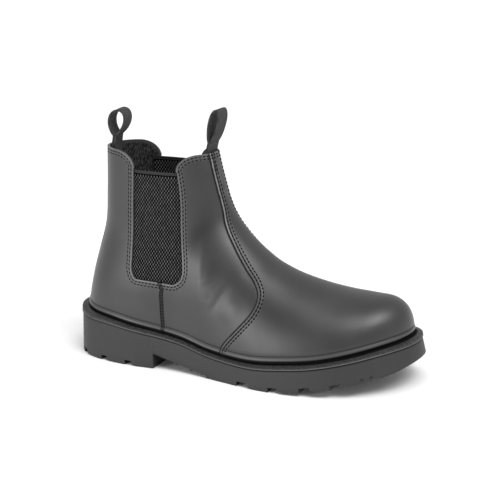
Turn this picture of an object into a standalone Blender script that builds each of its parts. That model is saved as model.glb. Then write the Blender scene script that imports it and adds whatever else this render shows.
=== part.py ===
"""Side gore work boot, right foot: lugged outsole, midsole with its welt, insole, hollow leather upper with
two gore windows, elastic gores and two webbing pull loops.

Metres, +Z up. The toe points to +X and the outer side of the foot is -Y. The shapes are worked out in the
last's own frame (x from the back of the sole, y from the straight centre line), and one empty carries them
so that the floor's centre under the boot is the origin.
"""

import bmesh
import bpy
import numpy as np
from mathutils import Matrix

# Driving sizes
LENGTH = 0.305
BALL_WIDTH = 0.112
HEEL_WIDTH = 0.083
HEEL_RISE = 0.035
BREAST_HEIGHT = 0.013
TOE_SPRING = 0.024
INSTEP_HEIGHT = 0.0955
COLLAR_HEIGHT = 0.1785
SHAFT_WIDTH = 0.054
LEATHER = 0.0018
GORE_THICKNESS = 0.0014
GORE_LAP = 0.005
GORE_TOP = 0.163
GORE_CORNER = 0.006
VAMP_STEP = 0.0009
STAY_STEP = 0.0006
STAY_WIDTH = 0.015
SEAM_RAMP = 0.0009
ROLL = 0.0010
ROLL_HEIGHT = 0.0060
SEAM_MARGIN = 0.0012
WELT_LEDGE = 0.0062
WELT_RISE = 0.0038
WELT_SLOPE = 0.0020
WELT_LIP = 0.0005
WELT_ROUND = 0.0007
SOLE_FLARE = 0.0028
SOLE_EDGE = 0.0010
INSOLE_THICKNESS = 0.0040
INSOLE_DISH = 0.0010
INSOLE_BORDER = 0.0070
INSOLE_FIT = 0.0006
LUG_DEPTH = 0.0042
CHANNEL_DEPTH = 0.0034
CHANNEL_WIDTH = 0.0050
CHANNEL_SPREAD = 0.0150
TAPE_THICKNESS = 0.0015
TAPE_WIDTH = 0.0160
TAPE_TUCK = 0.0120
LOOP_HEIGHT = 0.0260
LOOP_WIDTH = 0.0105
LOOP_LEAN = 0.0080
LOOP_STEM = 0.0085
TAB_CORNER = 0.0135
CLEARANCE = 0.0003

SHAFT_RISE = COLLAR_HEIGHT - INSTEP_HEIGHT
SHAFT_POWER = 2.3

# Shares: where along the length the back's lean fades out, where the foot turns into the shaft, the sole's
# flare away from the toe and where it grows, the fall of the tabs' corners, how far the sole's edge is cut
LEAN_FADE = (0.07, 0.50)
SHAFT_BLEND = (0.65, 0.35)
SIDE_FLARE = 0.45
TOE_FLARE_START = 0.85
TAB_FALL = 0.8
EDGE_INSET = 0.6
# Form of a pull loop's drop: fullness and power
DROP_FULLNESS = 1.3
DROP_POWER = 1.5

# Sole outline: share of the length, half width as shares of the heel and of the ball width,
# swing to the inner side as a share of the ball width
PLAN = np.array([
    [0.000, 0.000, 0.000, 0.000],
    [0.060, 0.372, 0.000, 0.000],
    [0.200, 0.500, 0.000, 0.000],
    [0.360, 0.300, 0.123, -0.030],
    [0.480, 0.100, 0.301, -0.058],
    [0.600, 0.000, 0.452, -0.050],
    [0.720, 0.000, 0.495, -0.020],
    [0.820, 0.000, 0.480, 0.010],
    [0.910, 0.000, 0.385, 0.035],
    [0.975, 0.000, 0.215, 0.045],
    [1.000, 0.000, 0.000, 0.045],
])

# Top edge of the outsole: share of the length, height as a share of the heel rise
RIM = np.array([
    [0.00, 1.000],
    [0.08, 0.963],
    [0.14, 0.940],
    [0.20, 0.880],
    [0.28, 0.800],
    [0.36, 0.700],
    [0.45, 0.535],
    [0.52, 0.482],
    [0.60, 0.480],
    [0.68, 0.555],
    [0.76, 0.650],
    [0.85, 0.810],
    [0.93, 0.965],
    [1.00, 1.070],
])

# Welt round the upper: share of the length, rise over the outsole's edge as a share of the welt rise,
# width of the ledge as a share of the ledge
WELT = np.array([
    [0.00, 1.85, 1.25],
    [0.06, 1.45, 1.10],
    [0.14, 1.15, 1.00],
    [0.30, 0.95, 1.00],
    [0.65, 1.00, 1.00],
    [0.88, 1.05, 1.00],
    [0.96, 1.25, 1.00],
    [1.00, 1.45, 1.00],
])

# Underside in front of the heel: share of the length, height as shares of the breast height and toe spring
UNDERSIDE = np.array([
    [0.281, 1.00, 0.00],
    [0.328, 0.69, 0.00],
    [0.393, 0.38, 0.00],
    [0.443, 0.17, 0.00],
    [0.480, 0.00, 0.00],
    [0.655, 0.00, 0.00],
    [0.718, 0.00, 0.08],
    [0.764, 0.00, 0.18],
    [0.816, 0.00, 0.29],
    [0.889, 0.00, 0.50],
    [0.961, 0.00, 0.77],
    [1.000, 0.00, 1.00],
])
HEEL_SHARE = 0.2795

# Slots between the lugs: start and end as shares of the length
SLOTS = (
    (0.036, 0.050),
    (0.110, 0.131),
    (0.191, 0.213),
    (0.549, 0.584),
    (0.646, 0.676),
    (0.735, 0.765),
    (0.816, 0.846),
    (0.890, 0.898),
    (0.911, 0.919),
)
# Channels along the sole: start and end as shares of the length
CHANNELS = ((0.055, 0.235), (0.515, 0.830))

# Back line of the upper: height as shares of the instep height and of the shaft above it, x as a share
# of the length
BACK = np.array([
    [0.314, 0.000, 0.0246],
    [0.471, 0.000, 0.0272],
    [0.733, 0.000, 0.0452],
    [0.963, 0.000, 0.0682],
    [1.000, 0.199, 0.0885],
    [1.000, 0.536, 0.0974],
    [1.000, 1.000, 0.1034],
])

# Front line of the upper from the toe's lower edge to the collar: x share of the length, height as shares of
# the instep height and of the shaft above it
FRONT = np.array([
    [0.9680, 0.314, 0.000],
    [0.9680, 0.429, 0.000],
    [0.9626, 0.555, 0.000],
    [0.9443, 0.665, 0.000],
    [0.9082, 0.725, 0.000],
    [0.8525, 0.739, 0.000],
    [0.7869, 0.760, 0.000],
    [0.7180, 0.808, 0.000],
    [0.6426, 0.886, 0.000],
    [0.5744, 1.000, 0.000],
    [0.5164, 1.000, 0.163],
    [0.4760, 1.000, 0.331],
    [0.4551, 1.000, 0.500],
    [0.4410, 1.000, 0.681],
    [0.4295, 1.000, 0.849],
    [0.4207, 1.000, 1.000],
])

# Roundness of the foot's sections: share of the length, power of the dome
DOME = np.array([
    [0.00, 3.00],
    [0.45, 1.90],
    [0.55, 1.75],
    [0.65, 1.80],
    [0.80, 2.20],
    [0.92, 2.60],
    [1.00, 2.60],
])

# Shaft: height as shares of the instep height and of the shaft above it, width as a share of the shaft width
SHAFT = np.array([
    [0.63, 0.00, 1.22],
    [0.89, 0.00, 1.16],
    [1.00, 0.17, 1.06],
    [1.00, 0.54, 0.98],
    [1.00, 0.84, 0.95],
    [1.00, 1.00, 0.94],
])

# Lines across the side: height as shares of the instep height and of the shaft above it, then x shares of
# the length of the window's back edge, the window's front edge and the vamp seam
LINES = np.array([
    [0.290, 0.00, 0.190, 0.367, 0.4934],
    [0.360, 0.00, 0.194, 0.366, 0.5115],
    [0.480, 0.00, 0.200, 0.361, 0.5459],
    [0.610, 0.00, 0.207, 0.356, 0.5797],
    [0.690, 0.00, 0.213, 0.351, 0.5905],
    [0.762, 0.00, 0.234, 0.340, 0.5890],
    [0.778, 0.00, 0.223, 0.350, 0.5870],
    [0.806, 0.00, 0.215, 0.360, 0.5820],
    [0.850, 0.00, 0.210, 0.366, 0.5711],
    [0.946, 0.00, 0.209, 0.366, 0.5407],
    [1.000, 0.11, 0.208, 0.360, 0.5003],
    [1.000, 0.32, 0.208, 0.355, 0.4639],
    [1.000, 0.47, 0.209, 0.354, 0.4511],
    [1.000, 0.63, 0.211, 0.351, 0.4384],
    [1.000, 0.80, 0.213, 0.345, 0.4279],
    [1.000, 1.00, 0.215, 0.340, 0.4174],
])

# Rings of the upper above its rolled edge: height at the back as shares of the instep height and of the
# shaft above it, row of the front line where the ring ends, how late it rises
RINGS = (
    (0.581, 0.000, 2.35, 4.0),
    (0.639, 0.000, 2.90, 5.0),
    (0.691, 0.000, 3.40, 6.0),
    (0.738, 0.000, 3.90, 6.0),
    (0.791, 0.000, 4.50, 6.0),
    (0.806, 0.000, 5.10, 6.0),
    (0.838, 0.000, 5.80, 6.0),
    (0.885, 0.000, 6.60, 5.0),
    (0.955, 0.000, 7.50, 4.0),
    (1.000, 0.070, 8.40, 3.5),
    (1.000, 0.205, 9.40, 3.0),
    (1.000, 0.355, 10.60, 2.5),
    (1.000, 0.515, 11.90, 2.0),
    (1.000, 0.670, 13.00, 1.5),
    (1.000, 0.815, 13.95, 1.0),
    (1.000, 0.915, 14.50, 1.0),
    (1.000, 1.000, 15.00, 1.0),
)
WINDOW_RING = 4
TAB_RING = 14

# Rolled lower edge: height as a share of the roll height, relief as a share of the roll
ROLL_ROWS = (
    (0.00, -0.80),
    (0.20, 0.30),
    (0.48, 1.00),
    (0.77, 0.35),
    (1.00, 0.00),
)

# Pull loops: x of the stem as a share of the length, then height, width and forward lean as shares of the
# loop's sizes
LOOPS = {
    "pull_loop_back": (0.1218, 0.7692, 1.0000, 0.625),
    "pull_loop_front": (0.4013, 1.0000, 0.7143, 1.000),
}

STATIONS = 36
CELLS_STAY = 2
CELLS_BACK = 7
CELLS_WINDOW = 6
CELLS_QUARTER = 5
CELLS_VAMP = 11
GORE_ROWS = 13
DROP_POINTS = 39
STATION_GAP = 0.008
SHARP_ANGLE = 40


def through(rows, places):
    """A smooth curve through rows of (place, values): the values at the places asked for."""
    knots = rows[:, 0]
    values = rows[:, 1:]
    slopes = np.gradient(values, knots, axis=0)
    places = np.clip(np.asarray(places, float), knots[0], knots[-1])
    row = np.clip(np.searchsorted(knots, places, side="right") - 1, 0, len(knots) - 2)
    gap = (knots[row + 1] - knots[row])[..., None]
    t = (places - knots[row])[..., None] / gap
    start = (1 + 2 * t) * (1 - t) ** 2 * values[row] + t * (1 - t) ** 2 * gap * slopes[row]
    end = t * t * (3 - 2 * t) * values[row + 1] - t * t * (1 - t) * gap * slopes[row + 1]
    return start + end


def ease(low, high, value):
    t = np.clip((value - low) / (high - low), 0, 1)
    return t * t * (3 - 2 * t)


def height_at(foot_share, shaft_share):
    return foot_share * INSTEP_HEIGHT + shaft_share * SHAFT_RISE


def by_height(rows):
    """A table whose first two columns, the shares of foot and shaft, become one height in metres."""
    return np.column_stack([height_at(rows[:, 0], rows[:, 1]), rows[:, 2:]])


def cosine_shares(count):
    return (1 - np.cos(np.linspace(0, np.pi, count))) / 2


ROUND_PLAN = np.column_stack([np.arccos(1 - 2 * PLAN[:, 0]), PLAN[:, 1:]])
BACK_LINE = by_height(BACK)
SHAFT_LINE = by_height(SHAFT)
SIDE_LINES = by_height(LINES)
FRONT_ROWS = np.column_stack([
    np.arange(len(FRONT)),
    FRONT[:, 0] * LENGTH,
    height_at(FRONT[:, 1], FRONT[:, 2]),
])
FRONT_LINE = through(FRONT_ROWS, np.linspace(0, len(FRONT) - 1, 600))
UPPER_BACK = BACK[0, 2] * LENGTH
UPPER_TIP = FRONT[0, 0] * LENGTH


def plan(share):
    """Half width and swing of the sole outline, round at both ends."""
    values = through(ROUND_PLAN, np.arccos(1 - 2 * np.clip(share, 0, 1)))
    half = values[..., 0] * HEEL_WIDTH + values[..., 1] * BALL_WIDTH
    return np.maximum(half, 0), values[..., 2] * BALL_WIDTH


def rim(x):
    return through(RIM, x / LENGTH)[..., 0] * HEEL_RISE


def welt_rise(x):
    return through(WELT, x / LENGTH)[..., 0] * WELT_RISE


def underside(x):
    values = through(UNDERSIDE, x / LENGTH)
    ahead = np.maximum(values[..., 0] * BREAST_HEIGHT + values[..., 1] * TOE_SPRING, 0)
    return np.where(x < (HEEL_SHARE + UNDERSIDE[0, 0]) / 2 * LENGTH, 0, ahead)


def back_x(z):
    return through(BACK_LINE, z)[..., 0] * LENGTH


def front_x(z):
    return np.interp(z, FRONT_LINE[:, 1], FRONT_LINE[:, 0])


def vamp_top(x):
    return np.interp(x, FRONT_LINE[::-1, 0], FRONT_LINE[::-1, 1])


def upper_sides(x, z):
    """Centre line and half width of the upper at a place in its side view: a foot blended into a shaft."""
    lean = (back_x(z) - UPPER_BACK) * (1 - ease(*LEAN_FADE, x / LENGTH))
    foot_half, swing = plan((x - lean - UPPER_BACK) / (UPPER_TIP - UPPER_BACK))
    up = np.clip((z - rim(x)) / np.maximum(vamp_top(x) - rim(x), CLEARANCE), 0, 1)
    dome = np.sqrt(np.maximum(1 - up ** through(DOME, x / LENGTH)[..., 0], 0))
    foot_half = foot_half * (1 - 2 * WELT_LEDGE / BALL_WIDTH) * dome
    back = back_x(z)
    front = front_x(z)
    along = np.clip(np.abs(2 * x - back - front) / (front - back), 0, 1)
    shaft_half = through(SHAFT_LINE, z)[..., 0] * SHAFT_WIDTH / 2
    shaft_half = shaft_half * (1 - along ** SHAFT_POWER) ** (1 / SHAFT_POWER)
    blend = ease(SHAFT_BLEND[0] * INSTEP_HEIGHT, INSTEP_HEIGHT + SHAFT_BLEND[1] * SHAFT_RISE, z)
    return swing * (1 - blend), foot_half * (1 - blend) + shaft_half * blend


def ring_ends(height):
    """x of the back and front ends of a ring whose height over x is known."""
    back = UPPER_BACK
    front = UPPER_TIP
    for _ in range(6):
        back = float(back_x(height(back)))
        front = float(front_x(height(front)))
    return back, front


def roll_ring(row):
    """Height over x of one ring of the rolled lower edge, and its two ends."""
    lift = CLEARANCE + ROLL_ROWS[row][0] * ROLL_HEIGHT

    def height(x):
        return rim(x) + welt_rise(x) + lift

    return height, *ring_ends(height)


def body_ring(row):
    """Height over x of one ring above the rolled edge, and its two ends."""
    foot_share, shaft_share, front_row, late = RINGS[row]
    height_back = height_at(foot_share, shaft_share)
    back = float(back_x(height_back))
    front, height_front = through(FRONT_ROWS, front_row)
    fade = (1 - (row + 4) / (len(RINGS) + 3)) ** 2
    sag = (rim(front) - rim(back)) * fade

    def height(x):
        u = np.clip((x - back) / (front - back), 0, 1)
        flat = height_back + (rim(x) - rim(back)) * fade
        return flat + (height_front - height_back - sag) * u ** late

    return height, back, float(front)


def crossing(height, column):
    """x where a ring crosses one of the side's lines: window back, window front or vamp seam."""
    x = LINES[0, 2 + column] * LENGTH
    for _ in range(30):
        x = 0.5 * x + 0.5 * float(through(SIDE_LINES, height(x))[column]) * LENGTH
    return x


def tab_drop(x, edge_back, edge_front):
    """How far the collar falls at the round corners of the two tabs, beside the window."""
    middle = (edge_back + edge_front) / 2
    into = np.where(x < middle, x - edge_back, edge_front - x) / TAB_CORNER + 1
    return TAB_CORNER * TAB_FALL * (1 - np.sqrt(1 - np.clip(into, 0, 0.98) ** 2))


def ring_columns(height, back, front):
    """x of each column of a ring, back to front, on one side of the boot."""
    window_back, window_front, seam = (crossing(height, column) for column in range(3))
    fine = back + (window_back - back) * np.linspace(0, 1, 200) ** 2
    _, half = upper_sides(fine, height(fine))
    stay = float(np.interp(STAY_WIDTH / 2, half, fine))
    stay_out = float(np.interp(STAY_WIDTH / 2 + SEAM_RAMP, half, fine))
    seam = min(seam, front - SEAM_MARGIN)
    quarter = stay_out + (window_back - stay_out) * cosine_shares(CELLS_BACK + 1)
    window = np.linspace(window_back, window_front, CELLS_WINDOW + 1)
    side = window_front + (seam - SEAM_RAMP / 2 - window_front) * cosine_shares(CELLS_QUARTER + 1)
    turn = np.sin(np.linspace(0, np.pi / 2, CELLS_VAMP + 1))
    ahead = seam + SEAM_RAMP / 2
    vamp = ahead + (front - ahead) * turn
    behind = back + (stay - back) * (1 - np.cos(np.linspace(0, np.pi / 2, CELLS_STAY + 1)))
    return np.concatenate([behind, quarter, window[1:], side[1:], vamp])


STAY_COLUMN = CELLS_STAY
WINDOW_START = STAY_COLUMN + 1 + CELLS_BACK
WINDOW_END = WINDOW_START + CELLS_WINDOW
SEAM_COLUMN = WINDOW_END + CELLS_QUARTER
COLUMNS = SEAM_COLUMN + 1 + CELLS_VAMP


def upper_rings():
    """Points of the upper's plain surface, ring by ring, and the relief that is added outside it."""
    points = []
    relief = []
    makers = [(roll_ring, row) for row in range(len(ROLL_ROWS))]
    makers += [(body_ring, row) for row in range(len(RINGS))]
    low = height_at(*RINGS[TAB_RING][:2])
    for maker, row in makers:
        height, back, front = maker(row)
        x = ring_columns(height, back, front)
        z = height(x)
        if maker is body_ring and row > TAB_RING:
            drop = tab_drop(x, x[WINDOW_START], x[WINDOW_END])
            z = z - drop * (z - low) / (COLLAR_HEIGHT - low)
        centre, half = upper_sides(x, z)
        outer_side = np.stack([x, centre - half, z], axis=-1)
        inner_side = np.stack([x, centre + half, z], axis=-1)
        points.append(np.concatenate([outer_side, inner_side[-2:0:-1]]))
        raised = np.zeros(len(x))
        raised[:STAY_COLUMN + 1] = STAY_STEP
        raised[SEAM_COLUMN + 1:] = VAMP_STEP
        if maker is roll_ring:
            raised = raised * ROLL_ROWS[row][0] + ROLL_ROWS[row][1] * ROLL
        relief.append(np.concatenate([raised, raised[-2:0:-1]]))
    return np.array(points), np.array(relief)


def grid_normals(points, closed):
    """Unit normals of a grid of points (rings, columns), outward for rings that run against the clock."""
    if closed:
        along = np.roll(points, -1, axis=1) - np.roll(points, 1, axis=1)
    else:
        along = np.gradient(points, axis=1)
    up = np.gradient(points, axis=0)
    normals = np.cross(along, up)
    return normals / np.linalg.norm(normals, axis=-1, keepdims=True)


def shell_faces(outer, inner, keep, closed):
    """Vertices and faces of a closed shell between two grids, over the cells that are kept."""
    rings, columns = outer.shape[:2]
    count = rings * columns
    faces = []

    def index(ring, column):
        return ring * columns + (column % columns)

    def wrapped(column):
        return column % columns if closed else column

    cells = set(zip(*np.nonzero(keep)))
    for ring, column in sorted(cells):
        corners = [
            index(ring, column),
            index(ring, column + 1),
            index(ring + 1, column + 1),
            index(ring + 1, column),
        ]
        faces.append(corners)
        faces.append([corner + count for corner in reversed(corners)])
        beside = [
            (ring - 1, column),
            (ring, wrapped(column + 1)),
            (ring + 1, column),
            (ring, wrapped(column - 1)),
        ]
        for step, neighbour in enumerate(beside):
            if neighbour not in cells:
                start = corners[step]
                end = corners[(step + 1) % 4]
                faces.append([end, start, start + count, end + count])
    return np.concatenate([outer.reshape(-1, 3), inner.reshape(-1, 3)]), faces


def stations():
    """Shares of the length where the sole's rings have points, with the heel breast among them."""
    shares = cosine_shares(STATIONS + 1)
    breast = (HEEL_SHARE, UNDERSIDE[0, 0])
    apart = np.all([np.abs(shares - place) > STATION_GAP for place in breast], axis=0)
    return np.sort(np.concatenate([shares[apart], breast]))


SHARES = stations()


def inset_outline(x, centre, half, inset):
    """The closed outline of two sides, against the clock from the back, moved inward by an inset."""
    outline = np.concatenate([
        np.stack([x, centre - half], axis=-1),
        np.stack([x, centre + half], axis=-1)[-2:0:-1],
    ])
    along = np.roll(outline, -1, axis=0) - np.roll(outline, 1, axis=0)
    normal = np.stack([along[:, 1], -along[:, 0]], axis=-1)
    normal /= np.linalg.norm(normal, axis=1, keepdims=True)
    return outline - normal * np.broadcast_to(inset, len(outline))[:, None]


def flare(x):
    """How far the sole's top edge stands inside its foot: most at the toe."""
    return SOLE_FLARE * (SIDE_FLARE + (1 - SIDE_FLARE) * ease(TOE_FLARE_START, 1, x / LENGTH))


def sole_ring(inset, height):
    """One ring of the sole: its outline moved inward by an inset, at a height, both worked out from x."""
    half, swing = plan(SHARES)
    x = SHARES * LENGTH
    moved = inset_outline(x, swing, half, inset(np.concatenate([x, x[-2:0:-1]])))
    return np.column_stack([moved, height(moved[:, 0])])


def upper_ring(margin, height):
    """A ring parallel to the upper's lower outline, moved inward by a margin."""
    back, front = ring_ends(height)
    x = back + (front - back) * cosine_shares(STATIONS + 1)
    centre, half = upper_sides(x, height(x))
    moved = inset_outline(x, centre, half, margin)
    return np.column_stack([moved, height(moved[:, 0])])


def stack_faces(rings):
    """Vertices and faces of a solid of stacked rings, closed below and above by rungs across it."""
    count = len(rings[0])
    half = count // 2
    faces = []
    for level in range(len(rings) - 1):
        low = level * count
        high = low + count
        for place in range(count):
            following = (place + 1) % count
            faces.append([low + place, low + following, high + following, high + place])
    top = (len(rings) - 1) * count
    for place in range(half):
        rung = [place, place + 1, (count - place - 1) % count, (count - place) % count]
        rung = list(dict.fromkeys(rung))
        faces.append([top + corner for corner in rung])
        faces.append(list(reversed(rung)))
    return np.concatenate(rings), faces


def make_material(name, color, roughness):
    material = bpy.data.materials.new(name)
    material.use_nodes = True
    shader = material.node_tree.nodes["Principled BSDF"]
    shader.inputs["Base Color"].default_value = (*color, 1)
    shader.inputs["Roughness"].default_value = roughness
    return material


def add_piece(name, vertices, faces, material, collection, carrier):
    mesh = bpy.data.meshes.new(name)
    mesh.from_pydata([tuple(map(float, vertex)) for vertex in vertices], [], faces)
    work = bmesh.new()
    work.from_mesh(mesh)
    bmesh.ops.delete(work, geom=[v for v in work.verts if not v.link_faces], context="VERTS")
    work.to_mesh(mesh)
    work.free()
    mesh.shade_smooth()
    mesh.set_sharp_from_angle(angle=np.radians(SHARP_ANGLE))
    mesh.materials.append(material)
    piece = bpy.data.objects.new(name, mesh)
    collection.objects.link(piece)
    piece.parent = carrier
    return piece


def make_upper(material, collection, carrier):
    points, relief = upper_rings()
    normals = grid_normals(points, closed=True)
    outer = points + normals * relief[..., None]
    inner = points - normals * LEATHER
    rings, columns = points.shape[:2]
    keep = np.ones((rings - 1, columns), bool)
    first = len(ROLL_ROWS) + WINDOW_RING
    keep[first:, WINDOW_START:WINDOW_END] = False
    keep[first:, columns - WINDOW_END:columns - WINDOW_START] = False
    vertices, faces = shell_faces(outer, inner, keep, closed=True)
    return add_piece("upper", vertices, faces, material, collection, carrier)


def gore_grid(side):
    """Plain surface behind one window, with a lap all round it under the leather."""
    points = []
    bottom = height_at(*RINGS[WINDOW_RING][:2]) - GORE_LAP
    for z in np.linspace(bottom, GORE_TOP, GORE_ROWS):
        lines = through(SIDE_LINES, max(z, bottom + GORE_LAP + GORE_CORNER))
        x = np.linspace(lines[0] * LENGTH - GORE_LAP, lines[1] * LENGTH + GORE_LAP, CELLS_WINDOW + 5)
        centre, half = upper_sides(x, np.full_like(x, z))
        points.append(np.stack([x, centre + side * half, np.full_like(x, z)], axis=-1))
    grid = np.array(points)
    return grid if side < 0 else grid[:, ::-1]


def make_gore(name, side, material, collection, carrier):
    points = gore_grid(side)
    normals = grid_normals(points, closed=False)
    outer = points - normals * (LEATHER + CLEARANCE)
    inner = outer - normals * GORE_THICKNESS
    keep = np.ones((points.shape[0] - 1, points.shape[1] - 1), bool)
    vertices, faces = shell_faces(outer, inner, keep, closed=False)
    return add_piece(name, vertices, faces, material, collection, carrier)


def make_outsole(material, collection, carrier):
    rings = [
        sole_ring(lambda x: SOLE_EDGE * EDGE_INSET, underside),
        sole_ring(lambda x: 0, lambda x: underside(x) + SOLE_EDGE),
        sole_ring(flare, lambda x: rim(x) - CLEARANCE),
    ]
    vertices, faces = stack_faces(rings)
    return add_piece("outsole", vertices, faces, material, collection, carrier)


def make_midsole(material, collection, carrier):
    def edge(x):
        return flare(x) - WELT_LIP

    def ledge(x):
        return edge(x) + through(WELT, x / LENGTH)[..., 1] * WELT_LEDGE

    def brim(x):
        return rim(x) + welt_rise(x) - WELT_SLOPE

    rings = [
        sole_ring(edge, rim),
        sole_ring(edge, lambda x: brim(x) - WELT_ROUND),
        sole_ring(lambda x: edge(x) + WELT_ROUND, brim),
        sole_ring(ledge, lambda x: rim(x) + welt_rise(x)),
    ]
    vertices, faces = stack_faces(rings)
    return add_piece("midsole", vertices, faces, material, collection, carrier)


def make_insole(material, collection, carrier):
    def base(x):
        return rim(x) + welt_rise(x) + CLEARANCE

    def top(x):
        return base(x) + INSOLE_THICKNESS

    wall = LEATHER + INSOLE_FIT
    rings = [
        upper_ring(wall, base),
        upper_ring(wall, top),
        upper_ring(wall + INSOLE_BORDER, lambda x: top(x) - INSOLE_DISH),
    ]
    vertices, faces = stack_faces(rings)
    return add_piece("insole", vertices, faces, material, collection, carrier)


def cutter_boxes():
    """Slots across the sole and channels along it, as (centre, size, tilt) boxes."""
    boxes = []
    for start, end in SLOTS:
        x = (start + end) / 2 * LENGTH
        z = float(underside(np.array(x)))
        ahead, behind = underside(np.array([x + LUG_DEPTH, x - LUG_DEPTH]))
        tilt = np.arctan((behind - ahead) / (2 * LUG_DEPTH))
        boxes.append(((x, 0, z), ((end - start) * LENGTH, 2 * BALL_WIDTH, 2 * LUG_DEPTH), tilt))
    for start, end in CHANNELS:
        middle = (start + end) / 2 * LENGTH
        _, swing = plan(np.array((start + end) / 2))
        for side in (-1, 1):
            y = float(swing) + side * CHANNEL_SPREAD
            size = ((end - start) * LENGTH, CHANNEL_WIDTH, 2 * CHANNEL_DEPTH)
            boxes.append(((middle, y, 0), size, 0))
    return boxes


def cut_lugs(outsole, collection, carrier):
    for number, (centre, size, tilt) in enumerate(cutter_boxes()):
        work = bmesh.new()
        bmesh.ops.create_cube(work, size=1)
        mesh = bpy.data.meshes.new("slot_%02d" % number)
        turned = Matrix.Translation(centre) @ Matrix.Rotation(tilt, 4, "Y")
        work.transform(turned @ Matrix.Diagonal((*size, 1)))
        work.to_mesh(mesh)
        work.free()
        cutter = bpy.data.objects.new("slot_%02d" % number, mesh)
        collection.objects.link(cutter)
        cutter.parent = carrier
        cutter.hide_render = True
        cutter.display_type = "WIRE"
        cut = outsole.modifiers.new(cutter.name, "BOOLEAN")
        cut.operation = "DIFFERENCE"
        cut.object = cutter


def loop_outlines(stem_share, tall_share, wide_share, lean_share):
    """Outer and inner outline of a pull loop seen from the side: a drop on a stem of two tapes."""
    tall = tall_share * LOOP_HEIGHT
    bulge = wide_share * LOOP_WIDTH / 2 * DROP_FULLNESS
    turn = np.linspace(0, 2 * np.pi, DROP_POINTS + 2)[1:-1]
    across = -bulge * np.sin(turn) * np.sin(turn / 2) ** DROP_POWER
    drop = np.stack([across, tall / 2 * (1 - np.cos(turn))], axis=-1)
    along = np.gradient(drop, axis=0)
    normal = np.stack([along[:, 1], -along[:, 0]], axis=-1)
    normal /= np.linalg.norm(normal, axis=1, keepdims=True)
    if normal[0, 0] > 0:
        normal = -normal
    outer = drop + normal * TAPE_THICKNESS
    low = -LOOP_STEM - TAPE_TUCK
    outer = np.concatenate([[[-TAPE_THICKNESS, low]], outer, [[TAPE_THICKNESS, low]]])
    base = np.array([stem_share * LENGTH, COLLAR_HEIGHT + LOOP_STEM])

    def leaning(points):
        shear = lean_share * LOOP_LEAN * np.maximum(points[:, 1:], 0) / tall
        return base + points + np.concatenate([shear, 0 * shear], axis=1)

    return leaning(outer), leaning(drop)


def make_loop(name, material, collection, carrier):
    curve = bpy.data.curves.new(name, "CURVE")
    curve.dimensions = "2D"
    curve.fill_mode = "BOTH"
    curve.extrude = TAPE_WIDTH / 2
    for outline in loop_outlines(*LOOPS[name]):
        spline = curve.splines.new("POLY")
        spline.points.add(len(outline) - 1)
        for point, (x, z) in zip(spline.points, outline):
            point.co = (x, z, 0, 1)
        spline.use_cyclic_u = True
    curve.materials.append(material)
    piece = bpy.data.objects.new(name, curve)
    collection.objects.link(piece)
    piece.parent = carrier
    piece.rotation_euler = (np.pi / 2, 0, 0)
    return piece


def main():
    for item in list(bpy.data.objects):
        bpy.data.objects.remove(item, do_unlink=True)
    pieces = bpy.data.collections.new("side_gore_work_boot")
    cutters = bpy.data.collections.new("cutters")
    bpy.context.scene.collection.children.link(pieces)
    bpy.context.scene.collection.children.link(cutters)
    half, swing = plan(np.linspace(0, 1, 400))
    carrier = bpy.data.objects.new("boot", None)
    pieces.objects.link(carrier)
    carrier.location = (-LENGTH / 2, -float((swing + half).max() + (swing - half).min()) / 2, 0)

    leather = make_material("black_leather", (0.080, 0.080, 0.083), 0.42)
    elastic = make_material("black_elastic", (0.035, 0.035, 0.037), 0.85)
    rubber = make_material("black_rubber", (0.060, 0.060, 0.062), 0.60)
    welt_rubber = make_material("welt_rubber", (0.065, 0.065, 0.067), 0.55)
    webbing = make_material("black_webbing", (0.045, 0.045, 0.047), 0.80)
    lining = make_material("footbed", (0.040, 0.040, 0.042), 0.90)

    outsole = make_outsole(rubber, pieces, carrier)
    cut_lugs(outsole, cutters, carrier)
    make_midsole(welt_rubber, pieces, carrier)
    make_insole(lining, pieces, carrier)
    make_upper(leather, pieces, carrier)
    make_gore("gore_outer", -1, elastic, pieces, carrier)
    make_gore("gore_inner", 1, elastic, pieces, carrier)
    for name in LOOPS:
        make_loop(name, webbing, pieces, carrier)


main()
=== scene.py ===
# %% [markdown]
# # A side gore work boot
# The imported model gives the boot's solids: a lugged sole, a midsole whose rim is the welt, a footbed, a
# hollow leather upper with two windows, an elastic gore behind each window, and a webbing pull loop on
# each tab. This notebook dresses them. The upper, gores, welt, sole and loops are made again with finer
# forms from the same sizes as the solids, so they fit them without any fitting by eye, and the footbed
# keeps its solid.

import bmesh
import bpy
import numpy as np
from mathutils import Matrix, Vector
from mathutils.bvhtree import BVHTree
from mathutils.kdtree import KDTree


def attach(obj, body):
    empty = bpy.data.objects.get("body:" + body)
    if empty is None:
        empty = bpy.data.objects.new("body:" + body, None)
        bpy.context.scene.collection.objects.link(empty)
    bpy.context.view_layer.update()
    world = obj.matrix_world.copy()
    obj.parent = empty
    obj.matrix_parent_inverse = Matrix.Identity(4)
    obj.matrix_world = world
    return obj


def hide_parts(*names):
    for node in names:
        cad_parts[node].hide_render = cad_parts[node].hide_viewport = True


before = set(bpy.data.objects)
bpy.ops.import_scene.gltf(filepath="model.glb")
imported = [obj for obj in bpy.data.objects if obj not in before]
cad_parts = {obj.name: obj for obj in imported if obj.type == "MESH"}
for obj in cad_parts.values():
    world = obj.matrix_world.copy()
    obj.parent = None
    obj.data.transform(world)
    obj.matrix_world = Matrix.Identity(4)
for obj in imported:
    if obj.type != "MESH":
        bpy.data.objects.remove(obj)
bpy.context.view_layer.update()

print("nodes:", ", ".join(sorted(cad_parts)))

# %% [markdown]
# ## Camera
# The photo was taken with a long lens, from the outer side and a little ahead of square on. The angles
# were found by laying the sole's outline over the photo. A tiny shift keeps the boot where the frame has
# it, and the camera leans by one and a half degrees, because in the photo the floor does too.

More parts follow.
